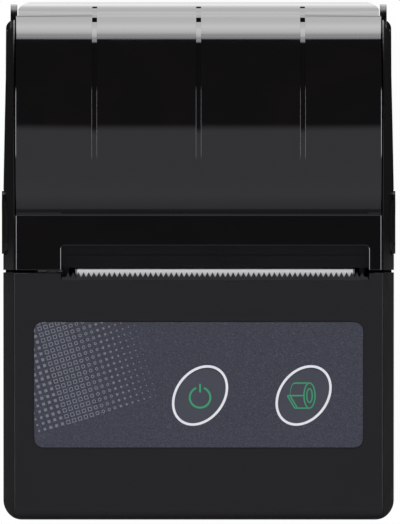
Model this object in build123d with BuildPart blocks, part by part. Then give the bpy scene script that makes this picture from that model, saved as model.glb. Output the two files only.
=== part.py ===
"""Portable receipt printer with a hinged paper lid.

X runs across the printer (right is +X), Y from the front face to the hinge, Z up from the table.
The origin is the middle of the flat underside. All sizes are in millimetres.
"""
from build123d import *

import os
from math import acos, atan2, cos, hypot, pi, radians, sin, sqrt, tan

os.makedirs("parts", exist_ok=True)

# Outer size of the casing
half_width = 40.5
crease_x = 38.2
front_y = -53.55
cheek_rear_y = 49.8
parting_z = 15.0
corner_radius = 4.0
rear_corner_radius = 1.6
wall = 2.0

# Top line: sloping key panel, level deck over the platen, round paper dome
seam_y = -2.1
seam_gap = 0.5
seam_notch_depth = 1.1
seam_notch_reach = 0.5
deck_z = 37.14
panel_tilt = 8.0
nose_radius = 3.2
dome_y = 28.5
dome_z = 21.0
dome_radius = 25.0
deck_fillet = 1.5

# The leaning flanks run down from the crease to this lower line
flank_deck_z = 22.5
flank_tilt = 3.0
flank_dome_z = -10.0
flank_dome_radius = 38.0

# Hinge
hinge_y = 48.55
hinge_z = 28.3
barrel_radius = 4.0
hinge_relief = 6.2
ear_radius = 4.6
ear_inner_x = 37.55
ear_outer_x = 38.9
hinge_pin_radius = 1.0

# Lid
lid_half_width = 37.75
lid_front_y = -1.9
lid_corner_radius = 3.0
crease_y = 50.45
lip_rear_y = 53.55
lip_wall = 1.6
lid_wall = 1.6
dome_wall = 2.0
skirt_depth = 5.0
cheek_inner_x = 37.95
notch_left_x = -28.4
notch_right_x = 35.2
notch_rear_y = 3.2
groove_spacing = 21.5
groove_width = 1.0
groove_depth = 0.8
groove_fade_angle = 30.0
lip_groove_depth = 0.3

# Paper path, set to the right of the middle to leave room for the gears
paper_centre_x = 3.4
paper_width = 57.0
paper_thickness = 0.1
platen_y = 3.0
platen_z = 28.9
platen_radius = 4.4
platen_length = 58.0
shaft_radius = 1.5
nip_angle = 1.5
paper_gap = 0.05

# Paper roll and the bucket that it lies in
bucket_y = 26.0
bucket_z = 21.5
bucket_radius = 18.0
bucket_wall = 1.1
bucket_left_x = -27.4
bucket_right_x = 33.5
bucket_front_z = 20.4
guide_radius = 1.25
roll_radius = 14.0
core_radius = 6.5
core_bore_radius = 5.0
roll_lift = 0.1

# Gears on the left of the paper path
gear_module = 0.5
platen_teeth = 18
idler_small_teeth = 14
idler_large_teeth = 30
motor_teeth = 12
gear_backlash = 0.10
gear_width = 1.7
inner_gear_x = -31.2
outer_gear_x = -33.2
idler_direction = 225.0

# Keys and label on the sloping panel
label_width = 68.0
label_depth = 26.2
label_centre_y = -25.6
label_corner = 2.0
label_thickness = 0.3
key_half_length = 6.3
key_half_width = 4.62
key_turn = 54.0
key_clearance = 0.12
power_key_x = 0.3
feed_key_x = 21.7
key_y = -27.8
led_places = ((-10.2, -29.3), (10.8, -29.3))

# Tear bar
tooth_pitch = 1.065
tooth_count = 58
tooth_depth = 1.0
tear_wall_y = -3.3
tear_bar_centre_x = 3.4

# Release buttons on both flanks
button_y = 8.0
button_z = 23.6
button_length = 13.0
button_height = 9.0
button_stand_out = 0.3

# Battery
battery_size = (55.0, 40.0, 11.0)
battery_centre_y = -29.5
door_half_width = 28.8
door_rear_y = -8.6
door_thickness = 1.6
door_lip_height = 6.0

# Casing screws
screw_radius = 1.0
screw_head_radius = 1.8
screw_hole_radius = 1.02
screw_x = 34.5
front_screw_y = -45.5
rear_screw_x = 35.7
rear_screw_y = 45.95

panel_origin_z = deck_z + (label_centre_y - seam_y) * tan(radians(panel_tilt))
panel = Plane(
    origin=(0, label_centre_y, panel_origin_z),
    x_dir=(1, 0, 0),
    z_dir=(0, -sin(radians(panel_tilt)), cos(radians(panel_tilt))),
)


def on_panel(y):
    """Distance up the sloping panel from the label's centre, for a point given by its plan Y."""
    return (y - label_centre_y) / cos(radians(panel_tilt))


def save(piece, name):
    """Label a finished piece and write it to its own file."""
    piece.label = name
    export_step(piece, f"parts/{name}.step")


def casing_section(inset, deck, tilt, arch_z, arch_radius, rear, base):
    """Side section under a top line of nose, panel, deck, hollow fillet and dome."""
    slope = radians(tilt)
    front = front_y + inset
    deck_level = deck - inset
    panel_at_seam = deck - inset / cos(slope)
    nose = max(nose_radius - inset, 0.8)
    nose_centre_y = front + nose
    nose_centre_z = panel_at_seam + (nose_centre_y - seam_y) * tan(slope) - nose / cos(slope)
    blend_z = deck + deck_fillet
    blend_y = dome_y - sqrt((arch_radius + deck_fillet) ** 2 - (blend_z - arch_z) ** 2)
    share = (arch_radius - inset) / (arch_radius + deck_fillet)
    join = (dome_y + (blend_y - dome_y) * share, arch_z + (blend_z - arch_z) * share)
    blend_angle = atan2(arch_z - blend_z, dome_y - blend_y)
    blend_middle = (blend_angle - pi / 2) / 2
    blend_reach = deck_fillet + inset
    rear_y = rear - inset
    rear_z = arch_z + sqrt((arch_radius - inset) ** 2 - (rear_y - dome_y) ** 2)
    panel_end = (seam_y, panel_at_seam)
    with BuildSketch() as section:
        with BuildLine():
            Line((front, base), (front, nose_centre_z))
            ThreePointArc(
                (front, nose_centre_z),
                (nose_centre_y - nose * sin(radians(45)), nose_centre_z + nose * cos(radians(45))),
                (nose_centre_y - nose * sin(slope), nose_centre_z + nose * cos(slope)),
            )
            Line((nose_centre_y - nose * sin(slope), nose_centre_z + nose * cos(slope)), panel_end)
            Line(panel_end, (blend_y, deck_level))
            ThreePointArc(
                (blend_y, deck_level),
                (blend_y + blend_reach * cos(blend_middle), blend_z + blend_reach * sin(blend_middle)),
                join,
            )
            ThreePointArc(join, (dome_y, arch_z + arch_radius - inset), (rear_y, rear_z))
            Line((rear_y, rear_z), (rear_y, base))
            Line((rear_y, base), (front, base))
        make_face()
    return section.sketch


def plan_outline(inset):
    """Outline of the casing seen from above: rounded front corners, slightly drawn-in rear."""
    side = half_width - inset
    rear_side = side - 0.6
    with BuildSketch() as outline:
        with BuildLine():
            Polyline(
                (-side, front_y + inset),
                (side, front_y + inset),
                (side, 12),
                (rear_side, 38),
                (rear_side, cheek_rear_y - inset),
                (-rear_side, cheek_rear_y - inset),
                (-rear_side, 38),
                (-side, 12),
                close=True,
            )
        make_face()
        fillet(outline.vertices().group_by(Axis.Y)[0], radius=corner_radius - inset / 2)
        rear_radius = max(rear_corner_radius - inset / 2, 0.4)
        fillet(outline.vertices().group_by(Axis.Y)[-1], radius=rear_radius)
    return outline.sketch


def upper_hull(inset):
    """Everything above the parting line, drawn in by inset: a core with two leaning flanks."""
    core_x = crease_x - 0.8 * inset
    side_x = half_width - inset
    crest = (inset, deck_z, panel_tilt, dome_z, dome_radius, cheek_rear_y, parting_z)
    foot = (inset, flank_deck_z, flank_tilt, flank_dome_z, flank_dome_radius, cheek_rear_y, parting_z)
    with BuildPart() as hull:
        with BuildSketch(Plane.YZ.offset(-core_x)):
            add(casing_section(*crest))
        extrude(amount=2 * core_x)
        for side in (-1, 1):
            with BuildSketch(Plane.YZ.offset(side * core_x)):
                add(casing_section(*crest))
            with BuildSketch(Plane.YZ.offset(side * side_x)):
                add(casing_section(*foot))
            loft(ruled=True)
        with BuildSketch():
            add(plan_outline(inset))
        extrude(amount=60, mode=Mode.INTERSECT)
    return hull.part


def lower_hull(inset):
    """Everything below the parting line, drawn in by inset, with walls that lean in downwards."""
    with BuildPart() as hull:
        for height, drawn_in in ((inset, 1.8), (inset + 1.2, 1.0), (parting_z, 0.4)):
            with BuildSketch(Plane.XY.offset(height)):
                add(plan_outline(drawn_in + inset))
        loft(ruled=True)
    return hull.part


def seam_notches():
    """Upright V grooves that end the seam on both flanks."""
    with BuildPart() as notches:
        for side in (-1, 1):
            with BuildSketch(Plane.XY.offset(parting_z)):
                with BuildLine():
                    Polyline(
                        (side * (half_width - seam_notch_depth), seam_y),
                        (side * (half_width + 1), seam_y - seam_notch_reach),
                        (side * (half_width + 1), seam_y + seam_notch_reach),
                        close=True,
                    )
                make_face()
            extrude(amount=deck_z)
    return notches.part


def involute_half_angle(radius, pitch_radius):
    """Half of a tooth's angle at a radius, for a 20 degree involute with backlash."""
    base_radius = pitch_radius * cos(radians(20))
    at_pitch = (pi * gear_module / 4 - gear_backlash / 2) / pitch_radius

    def involute(r):
        pressure = acos(min(1.0, base_radius / r))
        return tan(pressure) - pressure

    return at_pitch + involute(pitch_radius) - involute(max(radius, base_radius))


def gear_outline(teeth, turn):
    """Spur gear outline with its first tooth on the direction given in degrees."""
    pitch_radius = gear_module * teeth / 2
    radii = (
        pitch_radius - 1.2 * gear_module,
        pitch_radius - 0.3 * gear_module,
        pitch_radius + 0.35 * gear_module,
        pitch_radius + 0.9 * gear_module,
    )
    points = []
    for tooth in range(teeth):
        middle = radians(turn) + 2 * pi * tooth / teeth
        for radius in radii:
            angle = middle - involute_half_angle(radius, pitch_radius)
            points.append((radius * cos(angle), radius * sin(angle)))
        for radius in reversed(radii):
            angle = middle + involute_half_angle(radius, pitch_radius)
            points.append((radius * cos(angle), radius * sin(angle)))
    with BuildSketch() as outline:
        with BuildLine():
            Polyline(*points, close=True)
        make_face()
    return outline.sketch


def across(y, z, x):
    """Plane square to X through a point, with Y as its first axis and Z as its second."""
    return Plane(origin=(x, y, z), x_dir=(0, 1, 0), z_dir=(1, 0, 0))


def ring_between(y, z, start_x, end_x, radius, bore=0.0):
    """Round bar or tube along X between two stations."""
    with BuildPart() as bar:
        with BuildSketch(across(y, z, start_x)):
            Circle(radius)
            if bore:
                Circle(bore, mode=Mode.SUBTRACT)
        extrude(amount=end_x - start_x)
    return bar.part


# Idler and motor positions follow from the tooth counts
platen_pitch = gear_module * platen_teeth / 2
idler_small_pitch = gear_module * idler_small_teeth / 2
idler_large_pitch = gear_module * idler_large_teeth / 2
motor_pitch = gear_module * motor_teeth / 2
idler_y = platen_y + (platen_pitch + idler_small_pitch) * cos(radians(idler_direction))
idler_z = platen_z + (platen_pitch + idler_small_pitch) * sin(radians(idler_direction))
motor_direction = 180.0
motor_y = idler_y + (idler_large_pitch + motor_pitch) * cos(radians(motor_direction))
motor_z = idler_z + (idler_large_pitch + motor_pitch) * sin(radians(motor_direction))
motor_radius = 6.9

# Front cover: thin shell with the label recess, key holes and screw bosses
outer_hull = upper_hull(0)
inner_hull = upper_hull(wall)
notch_pair = seam_notches()
cover_rear_y = seam_y - seam_gap / 2
boss_radius = 2.7
rear_boss_radius = 2.1
usb_y = -33.0
usb_z = 18.7

with BuildPart() as front_cover:
    add(outer_hull)
    add(inner_hull, mode=Mode.SUBTRACT)
    with BuildSketch(Plane.XY.offset(parting_z)):
        with Locations((-screw_x, front_screw_y), (screw_x, front_screw_y)):
            Circle(boss_radius)
    extrude(amount=15.5)
    with BuildSketch(Plane.XY.offset(parting_z)):
        with Locations((-screw_x, front_screw_y), (screw_x, front_screw_y)):
            Circle(screw_hole_radius)
    extrude(amount=9, mode=Mode.SUBTRACT)
    with BuildSketch(Plane.XY):
        with Locations((0, cover_rear_y)):
            Rectangle(100, 120, align=(Align.CENTER, Align.MIN))
    extrude(amount=60, mode=Mode.SUBTRACT)
    add(notch_pair, mode=Mode.SUBTRACT)
    with BuildSketch(Plane.XY.offset(deck_z - 4.5)):
        with Locations((tear_bar_centre_x, cover_rear_y + 0.1)):
            Rectangle(notch_right_x - notch_left_x, cover_rear_y - tear_wall_y + 0.77,
                      align=(Align.CENTER, Align.MAX))
    extrude(amount=6, mode=Mode.SUBTRACT)
    with BuildSketch(panel.offset(-label_thickness - 0.05)):
        RectangleRounded(label_width + 0.3, label_depth + 0.3, label_corner)
    extrude(amount=3, mode=Mode.SUBTRACT)
    with BuildSketch(panel.offset(-4)):
        with Locations((power_key_x, on_panel(key_y)), (feed_key_x, on_panel(key_y))):
            Ellipse(key_half_length + 0.2, key_half_width + 0.2, rotation=key_turn)
        with Locations(*[(x, on_panel(y)) for x, y in led_places]):
            Circle(1.05)
    extrude(amount=5, mode=Mode.SUBTRACT)
    with BuildSketch(Plane.YZ.offset(-half_width - 2)):
        with Locations((usb_y, usb_z)):
            RectangleRounded(9.8, 4.0, 1.6)
    extrude(amount=6, mode=Mode.SUBTRACT)
save(front_cover.part, "front_cover")

# Tear bar: an upright strip behind the cover's edge, bent over into a row of teeth
tear_left_x = notch_left_x + 0.2
tear_right_x = notch_right_x - 0.2
tear_length = tear_right_x - tear_left_x
tear_middle_x = (tear_left_x + tear_right_x) / 2
tooth_top_z = deck_z - 0.1
with BuildPart() as tear_bar:
    with BuildSketch(Plane.YZ.offset(tear_left_x)):
        with BuildLine():
            Polyline(
                (tear_wall_y, tooth_top_z),
                (tear_wall_y, deck_z - 4.4),
                (tear_wall_y - 2.6, deck_z - 4.4),
                (tear_wall_y - 2.6, deck_z - 3.7),
                (tear_wall_y - 0.65, deck_z - 3.7),
                (tear_wall_y - 0.65, tooth_top_z),
                close=True,
            )
        make_face()
    extrude(amount=tear_length)
    with BuildSketch(Plane.XY.offset(tooth_top_z - 0.6)):
        with BuildLine():
            half_row = tooth_pitch * tooth_count / 2
            tips = [(tear_middle_x - half_row, tear_wall_y - 0.2)]
            for tooth in range(tooth_count):
                root_x = tear_middle_x - half_row + tooth * tooth_pitch
                tips.append((root_x + 0.06, tear_wall_y))
                tips.append((root_x + tooth_pitch / 2, tear_wall_y + tooth_depth))
                tips.append((root_x + tooth_pitch - 0.06, tear_wall_y))
            tips.append((tear_middle_x + half_row, tear_wall_y - 0.2))
            Polyline(*tips, close=True)
        make_face()
    extrude(amount=0.6)
save(tear_bar.part, "tear_bar")

# Label overlay with holes for the two keys
with BuildPart() as label_overlay:
    with BuildSketch(panel.offset(-label_thickness - 0.05)):
        RectangleRounded(label_width, label_depth, label_corner - 0.1)
        with Locations((power_key_x, on_panel(key_y)), (feed_key_x, on_panel(key_y))):
            Ellipse(key_half_length + key_clearance, key_half_width + key_clearance,
                    rotation=key_turn, mode=Mode.SUBTRACT)
    extrude(amount=label_thickness)
save(label_overlay.part, "label_overlay")

# Key caps with a stem that reaches down into the switch
key_board_top = -6.4
switch_height = 3.4
for key_name, key_x in (("power_key", power_key_x), ("feed_key", feed_key_x)):
    with BuildPart() as key:
        with BuildSketch(panel.offset(-1.6)):
            with Locations((key_x, on_panel(key_y))):
                Ellipse(key_half_length, key_half_width, rotation=key_turn)
        extrude(amount=1.75)
        chamfer(key.faces().sort_by(Axis.Z)[-1].edges(), length=0.2)
        with BuildSketch(panel.offset(key_board_top + switch_height - 0.5)):
            with Locations((key_x, on_panel(key_y))):
                Circle(1.2)
        extrude(amount=-key_board_top - switch_height + 0.5 - 1.0)
    save(key.part, key_name)

# Key board under the panel, with its switches, lamps and light pipes
with BuildPart() as key_board:
    with BuildSketch(panel.offset(key_board_top - 1.0)):
        with Locations((8.0, on_panel(key_y))):
            RectangleRounded(44.0, 11.0, 1.0)
    extrude(amount=1.0)
save(key_board.part, "key_board")

for switch_name, key_x in (("power_switch", power_key_x), ("feed_switch", feed_key_x)):
    with BuildPart() as switch:
        with BuildSketch(panel.offset(key_board_top)):
            with Locations((key_x, on_panel(key_y))):
                Rectangle(6.0, 6.0)
        extrude(amount=switch_height)
        with BuildSketch(panel.offset(key_board_top + switch_height)):
            with Locations((key_x, on_panel(key_y))):
                Circle(1.35)
        extrude(amount=-1.2, mode=Mode.SUBTRACT)
    save(switch.part, switch_name)

with BuildPart() as status_leds:
    with BuildSketch(panel.offset(key_board_top)):
        with Locations(*[(x, on_panel(y)) for x, y in led_places]):
            Rectangle(2.0, 1.25)
    extrude(amount=0.8)
save(status_leds.part, "status_leds")

with BuildPart() as light_pipes:
    with BuildSketch(panel.offset(key_board_top + 0.9)):
        with Locations(*[(x, on_panel(y)) for x, y in led_places]):
            Circle(1.0)
    extrude(amount=-key_board_top - 0.9 - label_thickness - 0.1)
save(light_pipes.part, "light_pipes")

# Middle casing: two cheeks beside the lid, the rear wall under the hinge and the hinge ears
with BuildPart() as middle_case:
    add(outer_hull)
    with BuildSketch(Plane.XY):
        Rectangle(2 * cheek_inner_x, 120)
    extrude(amount=60, mode=Mode.SUBTRACT)
    with BuildSketch(Plane.XY):
        with Locations((0, seam_y + seam_gap / 2)):
            Rectangle(100, 120, align=(Align.CENTER, Align.MAX))
    extrude(amount=60, mode=Mode.SUBTRACT)
    add(notch_pair, mode=Mode.SUBTRACT)
    with BuildSketch(Plane.XY.offset(parting_z)):
        with Locations((0, cheek_rear_y)):
            Rectangle(2 * cheek_inner_x + 0.4, wall, align=(Align.CENTER, Align.MAX))
        with Locations((-rear_screw_x, rear_screw_y), (rear_screw_x, rear_screw_y)):
            Circle(rear_boss_radius)
    extrude(amount=9)
    with BuildSketch(Plane.XY.offset(parting_z)):
        with Locations((-rear_screw_x, rear_screw_y), (rear_screw_x, rear_screw_y)):
            Circle(screw_hole_radius)
    extrude(amount=6, mode=Mode.SUBTRACT)
    with BuildSketch(across(hinge_y, hinge_z, -cheek_inner_x)):
        Circle(hinge_relief)
    extrude(amount=2 * cheek_inner_x, mode=Mode.SUBTRACT)
    for side in (-1, 1):
        with BuildSketch(across(hinge_y, hinge_z, side * ear_inner_x)):
            Circle(ear_radius)
        extrude(amount=side * (ear_outer_x - ear_inner_x))
    with BuildSketch(across(hinge_y, hinge_z, -half_width)):
        Circle(hinge_pin_radius + 0.02)
    extrude(amount=2 * half_width, mode=Mode.SUBTRACT)
    with BuildSketch(across(button_y, button_z, -half_width - 2)):
        RectangleRounded(button_length + 0.5, button_height + 0.5, 2.4)
    extrude(amount=2 * half_width + 4, mode=Mode.SUBTRACT)
save(middle_case.part, "middle_case")

save(ring_between(hinge_y, hinge_z, 0.2 - ear_outer_x, ear_outer_x - 0.2, hinge_pin_radius), "hinge_pin")

# Release buttons: a cap in the cheek, a flange behind it and a spring in a well at the back
button_hull = upper_hull(-button_stand_out)
for side, side_name in ((-1, "left"), (1, "right")):
    with BuildPart() as release_button:
        with BuildSketch(across(button_y, button_z, side * 37.6)):
            RectangleRounded(button_length, button_height, 2.2)
        extrude(amount=side * 5)
        add(button_hull, mode=Mode.INTERSECT)
        with BuildSketch(across(button_y, button_z, side * 36.9)):
            RectangleRounded(button_length + 2.4, button_height + 2.4, 2.2)
        extrude(amount=side * 0.9)
        with BuildSketch(across(button_y, button_z, side * 36.9)):
            Circle(2.3)
        extrude(amount=side * 2.6, mode=Mode.SUBTRACT)
    save(release_button.part, f"release_button_{side_name}")
    with BuildPart() as release_spring:
        with BuildSketch(across(button_y, button_z, side * 35.6)):
            Circle(2.0)
            Circle(1.5, mode=Mode.SUBTRACT)
        extrude(amount=side * 3.9)
    save(release_spring.part, f"release_spring_{side_name}")

# Bottom casing: tray with the battery box, posts for the board and screw columns
lower_outer = lower_hull(0)
lower_inner = lower_hull(1.8)
box_half_x = battery_size[0] / 2 + 0.5
box_front_y = battery_centre_y - battery_size[1] / 2 - 0.5
box_rear_y = battery_centre_y + battery_size[1] / 2 + 0.5
box_top_z = 13.6
with BuildPart() as bottom_case:
    add(lower_outer)
    add(lower_inner, mode=Mode.SUBTRACT)
    with BuildSketch(Plane.XY.offset(1.0)):
        with Locations((0, (box_front_y + box_rear_y) / 2)):
            Rectangle(2 * box_half_x + 2.4, box_rear_y - box_front_y + 2.4)
    extrude(amount=box_top_z)
    with BuildSketch(Plane.XY.offset(1.0)):
        with Locations((-screw_x, front_screw_y), (screw_x, front_screw_y)):
            Circle(boss_radius)
        with Locations((-rear_screw_x, rear_screw_y), (rear_screw_x, rear_screw_y)):
            Circle(rear_boss_radius)
    extrude(amount=parting_z - 1.0)
    with BuildSketch(Plane.XY):
        with Locations((0, (box_front_y + box_rear_y) / 2)):
            Rectangle(2 * box_half_x, box_rear_y - box_front_y)
    extrude(amount=box_top_z, mode=Mode.SUBTRACT)
    with BuildSketch(Plane.XY.offset(-1)):
        with Locations((0, door_rear_y + 0.15)):
            Rectangle(2 * door_half_width + 0.3, 60, align=(Align.CENTER, Align.MAX))
    extrude(amount=door_thickness + 1.15, mode=Mode.SUBTRACT)
    with BuildSketch(Plane.XY.offset(-1)):
        with Locations((0, box_front_y - 1.0)):
            Rectangle(2 * door_half_width + 0.3, 20, align=(Align.CENTER, Align.MAX))
    extrude(amount=door_lip_height + 1.15, mode=Mode.SUBTRACT)
    with BuildSketch(Plane.XY):
        with Locations((-screw_x, front_screw_y), (screw_x, front_screw_y)):
            Circle(2.0)
        with Locations((-rear_screw_x, rear_screw_y), (rear_screw_x, rear_screw_y)):
            Circle(1.9)
    extrude(amount=8, mode=Mode.SUBTRACT)
    with BuildSketch(Plane.XY):
        with Locations((-screw_x, front_screw_y), (screw_x, front_screw_y)):
            Circle(1.1)
        with Locations((-rear_screw_x, rear_screw_y), (rear_screw_x, rear_screw_y)):
            Circle(1.1)
    extrude(amount=parting_z, mode=Mode.SUBTRACT)
save(bottom_case.part, "bottom_case")

# Battery door: floor plate with an upturned front lip, cut from the same outer form
with BuildPart() as battery_door:
    add(lower_outer)
    with BuildSketch(Plane.YZ.offset(-door_half_width)):
        with BuildLine():
            Polyline(
                (door_rear_y, 0),
                (door_rear_y, door_thickness),
                (box_front_y - 1.3, door_thickness),
                (box_front_y - 1.3, door_lip_height),
                (front_y - 1, door_lip_height),
                (front_y - 1, 0),
                close=True,
            )
        make_face()
    extrude(amount=2 * door_half_width, mode=Mode.INTERSECT)
save(battery_door.part, "battery_door")

with BuildPart() as battery_pack:
    with BuildSketch(Plane.XY.offset(2.2)):
        with Locations((0, battery_centre_y)):
            RectangleRounded(battery_size[0], battery_size[1], 2.0)
    extrude(amount=battery_size[2])
    chamfer(battery_pack.edges().filter_by(Axis.Z, reverse=True), length=1.0)
save(battery_pack.part, "battery_pack")

# Spring contacts between the pack and the roof of its box
with BuildPart() as battery_contacts:
    with BuildSketch(Plane.XY.offset(2.2 + battery_size[2] + 0.05)):
        with Locations((-4.0, -15.0), (4.0, -15.0)):
            RectangleRounded(3.0, 8.0, 0.6)
    extrude(amount=0.3)
save(battery_contacts.part, "battery_contacts")

# Main board and what it carries
board_z = box_top_z + 1.8
board_rear_y = -22.0
board_front_y = -42.5
with BuildPart() as main_board:
    with BuildSketch(Plane.XY.offset(board_z)):
        with Locations((0, (board_rear_y + board_front_y) / 2)):
            RectangleRounded(67.0, board_rear_y - board_front_y, 1.0)
        with Locations((-28.0, -25.0), (28.0, -25.0)):
            Circle(1.1, mode=Mode.SUBTRACT)
    extrude(amount=1.6)
save(main_board.part, "main_board")

with BuildPart() as board_posts:
    with BuildSketch(Plane.XY.offset(box_top_z + 1.0)):
        with Locations((-28.0, -25.0), (28.0, -25.0), (0, -39.5)):
            Circle(2.2)
    extrude(amount=0.8)
save(board_posts.part, "board_posts")

board_top = board_z + 1.6
with BuildPart() as wireless_module:
    with BuildSketch(Plane.XY.offset(board_top)):
        with Locations((-14.0, -33.5)):
            Rectangle(12.0, 15.0)
    extrude(amount=0.8)
    with BuildSketch(Plane.XY.offset(board_top + 0.8)):
        with Locations((-14.0, -35.0)):
            RectangleRounded(10.6, 11.0, 0.6)
    extrude(amount=1.6)
save(wireless_module.part, "wireless_module")

with BuildPart() as board_chips:
    with BuildSketch(Plane.XY.offset(board_top)):
        with Locations((3.0, -33.0)):
            Rectangle(9.0, 9.0)
        with Locations((20.0, -36.0)):
            Rectangle(6.4, 5.0)
    extrude(amount=1.4)
save(board_chips.part, "board_chips")

with BuildPart() as usb_socket:
    with BuildSketch(Plane.YZ.offset(-39.2)):
        with Locations((usb_y, usb_z)):
            RectangleRounded(8.9, 3.2, 1.4)
            RectangleRounded(8.3, 2.6, 1.15, mode=Mode.SUBTRACT)
    extrude(amount=7.0)
    with BuildSketch(Plane.YZ.offset(-33.4)):
        with Locations((usb_y, usb_z)):
            RectangleRounded(8.9, 3.2, 1.4)
    extrude(amount=1.6)
    with BuildSketch(Plane.YZ.offset(-38.6)):
        with Locations((usb_y, usb_z)):
            Rectangle(6.6, 0.7)
    extrude(amount=5.6)
save(usb_socket.part, "usb_socket")

# Mechanism frame: two side plates on a floor, with a wall behind the head springs
left_plate_x = -27.9
right_plate_x = 33.2
plate_thickness = 1.1
frame_floor_z = 14.7
slot_radius = 2.75
plate_top_z = 32.6
tear_seat_z = deck_z - 4.4


def side_plate(x):
    """Upright plate with an open-topped slot for the platen bearing."""
    with BuildPart() as plate:
        with BuildSketch(Plane.YZ.offset(x)):
            with BuildLine():
                Polyline(
                    (-20.5, frame_floor_z),
                    (-20.5, 24.0),
                    (-16.0, 29.0),
                    (-7.0, tear_seat_z),
                    (tear_wall_y + 0.1, tear_seat_z),
                    (tear_wall_y + 0.5, plate_top_z),
                    (7.6, plate_top_z),
                    (7.6, 26.0),
                    (4.8, 22.6),
                    (4.8, frame_floor_z),
                    close=True,
                )
            make_face()
            with Locations((platen_y, platen_z)):
                Circle(slot_radius, mode=Mode.SUBTRACT)
            with BuildLine():
                Polyline(
                    (platen_y - slot_radius, platen_z),
                    (platen_y + slot_radius, platen_z),
                    (platen_y + slot_radius + 0.9, plate_top_z + 1),
                    (platen_y - slot_radius, plate_top_z + 1),
                    close=True,
                )
            make_face(mode=Mode.SUBTRACT)
        extrude(amount=plate_thickness)
    return plate.part


left_plate = side_plate(left_plate_x)
right_plate = side_plate(right_plate_x)
spring_wall_y = -9.2
with BuildPart() as mech_frame:
    add(left_plate)
    add(right_plate)
    with BuildSketch(Plane.YZ.offset(left_plate_x)):
        with Locations((-20.5, frame_floor_z)):
            Rectangle(25.7, 1.0, align=(Align.MIN, Align.MIN))
    extrude(amount=right_plate_x + plate_thickness - left_plate_x)
    with BuildSketch(Plane.YZ.offset(-11.0)):
        with Locations((spring_wall_y, frame_floor_z)):
            Rectangle(1.1, 15.0, align=(Align.MIN, Align.MIN))
    extrude(amount=right_plate_x + 0.5 + 11.0)
    with BuildSketch(Plane.XZ.offset(-spring_wall_y + 1)):
        with Locations((14.0, frame_floor_z + 2.2)):
            Rectangle(16.0, 2.4)
    extrude(amount=-4, mode=Mode.SUBTRACT)
    with BuildSketch(across(motor_y, motor_z, left_plate_x - 1)):
        Circle(1.3)
    extrude(amount=4, mode=Mode.SUBTRACT)
save(mech_frame.part, "mech_frame")

# Print head: a ceramic strip on an aluminium plate, square to the line from the platen
nip = radians(nip_angle)
head_distance = platen_radius + paper_thickness + 2 * paper_gap
head_y = platen_y - head_distance * cos(nip)
head_z = platen_z - head_distance * sin(nip)
head_plane = Plane(origin=(paper_centre_x, head_y, head_z), x_dir=(1, 0, 0),
                   z_dir=(0, -cos(nip), -sin(nip)))
with BuildPart() as thermal_head:
    with BuildSketch(head_plane):
        with Locations((0, -1.0)):
            Rectangle(paper_width + 0.8, 8.0)
    extrude(amount=1.0)
save(thermal_head.part, "thermal_head")

with BuildPart() as heat_sink:
    with BuildSketch(head_plane.offset(1.0)):
        with Locations((0, -1.75)):
            Rectangle(paper_width + 0.8, 10.4)
    extrude(amount=2.4)
save(heat_sink.part, "heat_sink")

spring_places = (-6.0, 10.0, 26.0)
with BuildPart() as head_springs:
    for spring_x in spring_places:
        with BuildSketch(Plane.XZ.offset(-spring_wall_y - 1.1)):
            with Locations((spring_x, 26.0)):
                Circle(1.9)
                Circle(1.4, mode=Mode.SUBTRACT)
        extrude(amount=-2.9)
save(head_springs.part, "head_springs")

# Flat cable from the head's lower edge, through the slot in the frame's wall, to its socket
cable_x = 14.0
cable_width = 14.0
cable_thickness = 0.2
cable_z = 17.4
socket_y = -26.2
with BuildPart() as head_cable:
    with BuildSketch(Plane.YZ.offset(cable_x - cable_width / 2)):
        with BuildLine():
            FilletPolyline((-1.95, 23.6), (-1.3, 19.5), (-3.5, cable_z), (socket_y + 1.6, cable_z), radius=0.8)
            offset(amount=cable_thickness, side=Side.LEFT)
        make_face()
    extrude(amount=cable_width)
save(head_cable.part, "head_cable")

with BuildPart() as cable_socket:
    with BuildSketch(Plane.XY.offset(board_top)):
        with Locations((cable_x, socket_y)):
            Rectangle(cable_width + 3.0, 3.0)
    extrude(amount=1.6)
save(cable_socket.part, "cable_socket")

# Stepper motor, lying along X in front of the head, and its pinion
with BuildPart() as motor:
    add(ring_between(motor_y, motor_z, left_plate_x + plate_thickness, -14.5, motor_radius))
    add(ring_between(motor_y, motor_z, left_plate_x, left_plate_x + plate_thickness + 0.1, 1.25, 0.6))
save(motor.part, "motor")

with BuildPart() as motor_pinion:
    with BuildSketch(across(motor_y, motor_z, outer_gear_x)):
        add(gear_outline(motor_teeth, motor_direction + 180 + 180 / motor_teeth))
    extrude(amount=gear_width)
    add(ring_between(motor_y, motor_z, outer_gear_x + gear_width - 0.1, -27.0, 0.55))
save(motor_pinion.part, "motor_pinion")

with BuildPart() as idler_gear:
    with BuildSketch(across(idler_y, idler_z, outer_gear_x)):
        add(gear_outline(idler_large_teeth, motor_direction))
    extrude(amount=gear_width)
    with BuildSketch(across(idler_y, idler_z, inner_gear_x)):
        add(gear_outline(idler_small_teeth, idler_direction + 180 + 180 / idler_small_teeth))
    extrude(amount=gear_width)
    add(ring_between(idler_y, idler_z, outer_gear_x + gear_width - 0.2, inner_gear_x + 0.2, 2.6))
    with BuildSketch(across(idler_y, idler_z, outer_gear_x - 1)):
        Circle(0.85)
    extrude(amount=6, mode=Mode.SUBTRACT)
save(idler_gear.part, "idler_gear")

with BuildPart() as idler_axle:
    add(ring_between(idler_y, idler_z, outer_gear_x - 0.4, left_plate_x, 0.8))
    add(ring_between(idler_y, idler_z, outer_gear_x - 0.8, outer_gear_x - 0.3, 1.5))
save(idler_axle.part, "idler_axle")

# Platen roller, carried by the lid
rubber_left_x = paper_centre_x - platen_length / 2
rubber_right_x = paper_centre_x + platen_length / 2
with BuildPart() as platen_shaft:
    add(ring_between(platen_y, platen_z, inner_gear_x - 0.3, 35.3, shaft_radius))
save(platen_shaft.part, "platen_shaft")

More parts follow.
